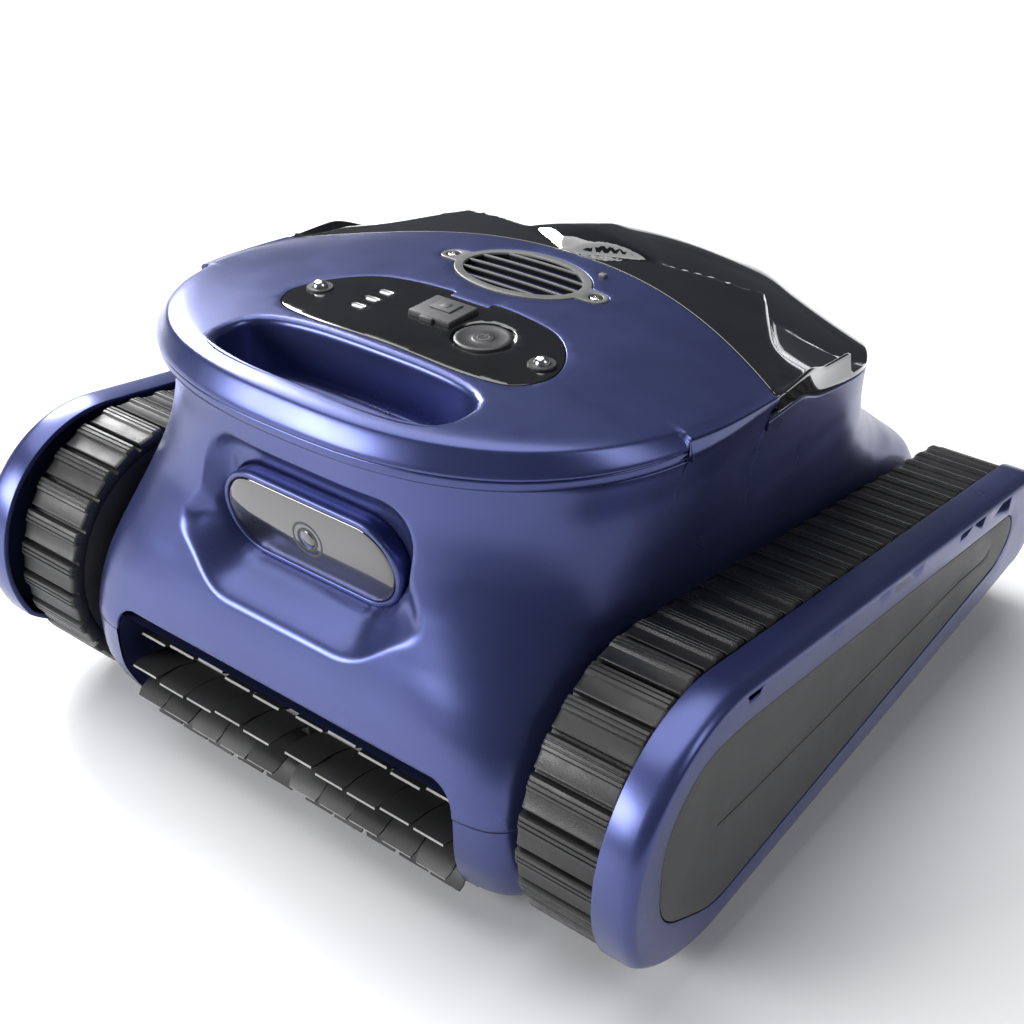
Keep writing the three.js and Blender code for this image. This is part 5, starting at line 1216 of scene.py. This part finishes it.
def build_panel():
    parts = Parts()
    button_at = (button_low[:2] + button_high[:2]) / 2
    radius = (button_high[0] - button_low[0]) / 2
    loop = panel_loop(-0.1)
    parts.strip(plate_rows(loop, deck_top, 0.05, 2.6))
    well = ring_loop(radius + 1.9, button_at)
    leds = []
    for k in (1, 2, 3):
        low, high = cad("led_guide_%d" % k)
        leds.append(((low + high) / 2, (high - low) / 2))
    slots = []
    for centre, half in leds:
        slots.append(stadium_loop(half[0] + 0.3, half[1] + 0.3, 28, centre[:2]))
    outer = offset(loop, -0.35)
    sheet(parts, outer, [well, *slots], lambda x, y: deck_top(x, y) + 0.05, 4)
    for ring, deep in [(well, 2.4)] + [(s, 1.2) for s in slots]:
        top = deck_top(*ring.T)
        parts.strip([with_z(ring, top + 0.05), with_z(offset(ring, -0.2), top - 0.1),
                     with_z(offset(ring, -0.3), top - 0.5), with_z(offset(ring, -0.3), top - deep)])
        parts.add(with_z(offset(ring, -0.3), top - deep), [list(range(len(ring)))])
    parts.make("panel_plate", piano, stands_for=["control_panel"], slot="gloss_black", sharp=40)
    for k, ((centre, half), slot) in enumerate(zip(leds, slots)):
        bar = Parts()
        inner = offset(slot, -0.32)
        top = deck_top(*inner.T)
        rows = [with_z(inner, top - 1.1), with_z(inner, top - 0.1), with_z(offset(inner, -0.2), top + 0.08)]
        bar.strip(rows)
        bar.fan(rows[-1])
        bar.make("status_light_%d" % (k + 1), light_guide, stands_for=["led_guide_%d" % (k + 1)],
                 slot="light_guide")
    # button
    z = float(deck_top(*button_at))
    button = turned([(radius, button_low[2] + 0.2), (radius, z - 0.5), (radius - 0.25, z + 0.15),
                     (radius - 0.9, z + 0.5), (radius - 1.8, z + 0.55), (radius - 2.6, z + 0.35),
                     (8.5, z - 0.05),
                     (5.6, z - 0.15), (5.3, z - 0.05), (5.0, z + 0.15), (4.5, z + 0.2), (0.1, z + 0.22)], 72,
                    button_at)
    button.make("button_cap", button_grey, body="power_button", stands_for=["power_button"],
                slot="button_grey",
                sharp=40)
    mark = Parts()
    a = np.linspace(math.radians(115), math.radians(425), 40)
    rows = [np.column_stack([button_at[0] + r * np.cos(a), button_at[1] + r * np.sin(a), np.full(40, h)])
            for r, h in ((2.5, z + 0.2), (2.55, z + 0.34), (3.15, z + 0.34), (3.2, z + 0.2))]
    mark.strip(rows, closed=False)
    block(mark, (button_at[0] - 0.33, button_at[1] + 0.8, z + 0.15),
          (button_at[0] + 0.33, button_at[1] + 4.0, z + 0.34),
          0.05, 1)
    mark.make("power_symbol", grille_grey, body="power_button", slot="button_grey")
    # charging port cover
    cover = Parts()
    block(cover, (port_low[0], port_low[1], port_low[2] - 0.2),
          (port_high[0], port_high[1], port_high[2] - 0.7), 1.1, 4)
    middle = (port_low[0] + port_high[0]) / 2
    block(cover, (middle - 6.4, port_low[1] + 8.0, port_high[2] - 1.2),
          (middle + 6.4, port_high[1] - 3.6, port_high[2]),
          0.45, 3)
    block(cover, (middle - 2.6, port_low[1] + 10.6, port_high[2] - 0.6),
          (middle + 2.6, port_high[1] - 6.2, port_high[2] + 0.12), 0.1, 1)
    block(cover, (middle - 4.6, port_low[1] - 1.6, port_low[2] - 0.1),
          (middle + 3.4, port_low[1] + 3.0, port_high[2] - 1.1),
          0.6, 3)
    cover.make("port_cap", port_rubber, body="charging_port_cover", stands_for=["charging_port_cover"],
               slot="port_rubber", sharp=50)
    # studs
    for side, name in ((1, "right"), (-1, "left")):
        centre = ((stud_low[0] + stud_high[0]) / 2 * side, (stud_low[1] + stud_high[1]) / 2)
        half = (stud_high[0] - stud_low[0]) / 2
        base = float(deck_top(*centre))
        top = stud_high[2]
        washer = turned([(half + 1.3, base - 0.5), (half + 1.3, base + 0.7), (half + 0.9, base + 1.1),
                         (half * 0.75, base + 1.2), (half * 0.7, base + 0.8)], 48, centre)
        washer.make("stud_seat_" + name, black_plastic, slot="gloss_black", sharp=40)
        dome = [(half * 0.72 * math.cos(a), base + 1.0 + (top - base - 1.0) * math.sin(a))
                for a in np.linspace(0, math.pi / 2 - 0.03, 10)]
        turned([(half * 0.72, base - 2)] + dome, 48, centre).make(
            "stud_" + name, steel, stands_for=["panel_stud_" + name], slot="steel", sharp=40)


def build_vent():
    # well gathers the painted-shade pieces under the grille: the blade sides below the slats and a closed
    # cup.
    parts, well = Parts(), Parts()
    loop = vent_loop(0.0)
    lift = 0.5
    parts.strip(plate_rows(loop, deck_top, lift, 2.4, 0.6))
    bore_x, bore_y = 34.6, 21.8
    bore = super_loop(bore_x, bore_y, 2, 40, (0, VENT_Y))
    seats = [ring_loop(4.1, (side * (screw_low[0] + screw_high[0]) / 2, VENT_Y), 36) for side in (1, -1)]
    sheet(parts, offset(loop, -0.6), [bore, *seats], lambda x, y: deck_top(x, y) + lift, 3)
    top = deck_top(*bore.T)
    parts.strip([with_z(bore, top + lift), with_z(offset(bore, -0.3), top + lift - 0.1),
                 with_z(offset(bore, -0.5), top + lift - 0.5), with_z(offset(bore, -0.5), top - 7)])
    for k in range(-2, 3):
        y = VENT_Y + k * 8.6 * bore_y / 22
        reach = bore_x * math.sqrt(max(0, 1 - ((y - VENT_Y) / bore_y) ** 2)) + 0.6
        xs = np.linspace(-reach, reach, 24)
        rows = []
        for dy, dz in ((-0.5, -1.1), (-0.55, -0.3), (-0.35, 0), (0.35, 0), (0.55, -0.3), (0.5, -1.1)):
            rows.append(np.column_stack([xs, np.full(24, y + dy), deck_top(xs, y) + lift - 0.3 + dz]))
        parts.strip(rows, closed=False)
        # The blade sides below each slat are painted shade in near-black, not the grille's grey.
        blade = [np.column_stack([xs, np.full(24, y + dy), deck_top(xs, y) + lift + dz])
                 for dy, dz in ((-0.4, -7), (-0.45, -1.2), (0.45, -1.2), (0.4, -7))]
        well.strip(blade, closed=False)
    block(parts, (31.4, VENT_Y + 21, DECK_Z - 1.2), (35.0, VENT_Y + 24.4, DECK_Z + 0.9), 0.5, 2)
    for seat in seats:
        top = deck_top(*seat.T)
        parts.strip([with_z(seat, top + lift), with_z(offset(seat, -0.3), top + lift - 0.2),
                     with_z(offset(seat, -0.3), top - 1.4)])
        parts.add(with_z(offset(seat, -0.3), top - 1.4), [list(range(len(seat)))])
    parts.make("vent_plate", grille_grey, stands_for=["vent_grille"], slot="grey_plastic", sharp=40)
    # Painted shade: a closed near-black cup under the bore stands in for the shadow inside the vent.
    rim = super_loop(bore_x - 0.55, bore_y - 0.55, 2, 40, (0, VENT_Y))
    well.strip([with_z(rim, DECK_Z - 9.0), with_z(rim, deck_top(*rim.T) - 0.6)])
    well.fan(with_z(rim, DECK_Z - 9.0))
    well.make("vent_painted_shade_well", painted_shade_black, slot="black_plastic")
    for side, name in ((1, "right"), (-1, "left")):
        centre = (side * (screw_low[0] + screw_high[0]) / 2, VENT_Y)
        base = float(deck_top(*centre))
        head = turned([(2.9, base - 1.5), (2.95, base - 0.2), (2.6, base + 0.35), (1.9, base + 0.6),
                       (1.3, base + 0.65), (1.25, base - 0.4), (0.1, base - 0.5)], 40, centre)
        head.make("vent_screw_head_" + name, steel, stands_for=["vent_screw_" + name], slot="steel", sharp=40)


def build_camera_window():
    """Bezel ring, dark pane and lens, leaning forward with the recess."""
    tilt = math.radians(6)
    front = window_low[1]

    def leaned(loop, raise_by):
        """(x, z) loop about the window's middle, pushed forward by raise_by."""
        v = loop[:, 1]
        y = front + 3.0 - raise_by
        return np.column_stack([loop[:, 0], y - v * math.sin(tilt), WINDOW_Z + v * math.cos(tilt)])

    rim_x, rim_r = bezel_high[0], BEZEL_RADIUS + 0.6
    win_x, win_r = rim_x - 3.4, rim_r - 3.4
    rows = [leaned(stadium_loop(rim_x - d, rim_r - d, 120), h)
            for d, h in ((0.3, -12), (0.0, -2.4), (0.2, -1.2), (0.8, -0.35), (1.6, 0.0), (2.5, 0.0),
                         (3.0, -0.15),
                         (3.3, -0.6), (3.4, -3))]
    parts = Parts()
    parts.strip(rows)
    parts.make("window_bezel", blue, stands_for=["camera_bezel"], slot="body_blue", sharp=50)
    pane = Parts()
    rows = []
    for d, h in ((0.25, -2.6), (0.25, -0.9), (0.5, -0.45), (1.2, -0.15), (3, 0.05), (6, 0.25), (10, 0.4),
                 (14, 0.48)):
        rows.append(leaned(stadium_loop(win_x - d, win_r - d, 120), h))
    pane.strip(rows)
    inner = rows[-1]
    pane.add(inner, [list(range(len(inner)))])
    pane.make("window_pane", glass_black, stands_for=["camera_window"], slot="gloss_black", sharp=50)

    def lens_rows(profile):
        a = np.linspace(0, 2 * math.pi, 60, endpoint=False)
        return [leaned(np.column_stack([r * np.cos(a), r * np.sin(a)]), h) for r, h in profile]

    ring = Parts()
    rows = lens_rows([(9.6, 0.42), (9.5, 0.55), (9.2, 0.6), (8.7, 0.6), (8.4, 0.5), (8.1, 0.42)])
    ring.strip(rows)
    rows = lens_rows([(6.4, 0.42), (6.3, 0.7), (5.9, 0.8), (5.3, 0.75), (5.0, 0.5), (4.8, 0.3)])
    ring.strip(rows)
    ring.make("lens_ring", button_grey, slot="gloss_black", sharp=30)
    eye = Parts()
    rows = lens_rows([(4.9, 0.3)] + [(4.8 * math.cos(a), 0.3 + 1.2 * math.sin(a))
                                      for a in np.linspace(0, math.pi / 2 - 0.02, 14)])
    eye.strip(rows)
    eye.fan(rows[-1])
    eye.make("lens_glass", lens_glass, slot="gloss_black", sharp=60)


build_shell()
build_lower_housing()
build_deck()
build_handle_ring()
build_lid()
build_belts()
build_side_covers()
build_brush()
build_panel()
build_vent()
build_camera_window()


# ---- Stage ----
def build_stage():
    floor = bpy.data.meshes.new("floor")
    work = bmesh.new()
    bmesh.ops.create_grid(work, x_segments=2, y_segments=2, size=8)
    work.to_mesh(floor)
    work.free()
    ground = bpy.data.objects.new("floor", floor)
    bpy.context.scene.collection.objects.link(ground)
    ground.data.materials.append(finish("pale_floor", (0.86, 0.86, 0.87), spread=0.01, patch=3,
                                        rough=(0.5, 0.6), bump=0.02))


def softbox(name, place, target, size, power, colour=(1, 1, 1)):
    lamp = bpy.data.lights.new(name, "AREA")
    lamp.shape = "RECTANGLE"
    lamp.size, lamp.size_y = size
    lamp.energy = power
    lamp.color = colour
    held = bpy.data.objects.new(name, lamp)
    held.location = place
    held.rotation_euler = (Vector(target) - Vector(place)).to_track_quat("-Z", "Y").to_euler()
    bpy.context.scene.collection.objects.link(held)


def build_light():
    world = bpy.data.worlds.new("studio")
    bpy.context.scene.world = world
    world.use_nodes = True
    sky = world.node_tree.nodes["Background"]
    sky.inputs["Color"].default_value = (0.85, 0.9, 1.0, 1)
    sky.inputs["Strength"].default_value = 0.10
    sun = bpy.data.lights.new("high_key", "SUN")
    sun.energy, sun.angle = 2.4, math.radians(60)
    held = bpy.data.objects.new("high_key", sun)
    held.rotation_euler = Vector((0.42, -0.10, -0.9)).to_track_quat("-Z", "Y").to_euler()
    bpy.context.scene.collection.objects.link(held)
    softbox("left", (-2.0, 0.7, 1.35), (0, 0, 0.15), (0.9, 0.9), 66)
    softbox("front", (-1.3, -1.9, 0.95), (0, -0.1, 0.1), (1.3, 0.7), 50)
    softbox("right", (2.4, 0.3, 2.3), (0.9, 0.2, 0.0), (1.0, 1.4), 20)
    bpy.context.scene.view_settings.view_transform = "Standard"


EYE = (0.4279, -0.5703, 0.5265)
SIGHT_LINE = (-0.52467, 0.66650, -0.52962)


def build_camera():
    lens = bpy.data.cameras.new("camera")
    lens.lens = 52.78
    lens.sensor_width = 36
    eye = bpy.data.objects.new("camera", lens)
    eye.location = EYE
    eye.rotation_euler = Vector(SIGHT_LINE).to_track_quat("-Z", "Y").to_euler()
    bpy.context.scene.collection.objects.link(eye)
    bpy.context.scene.camera = eye


build_stage()
build_light()
build_camera()
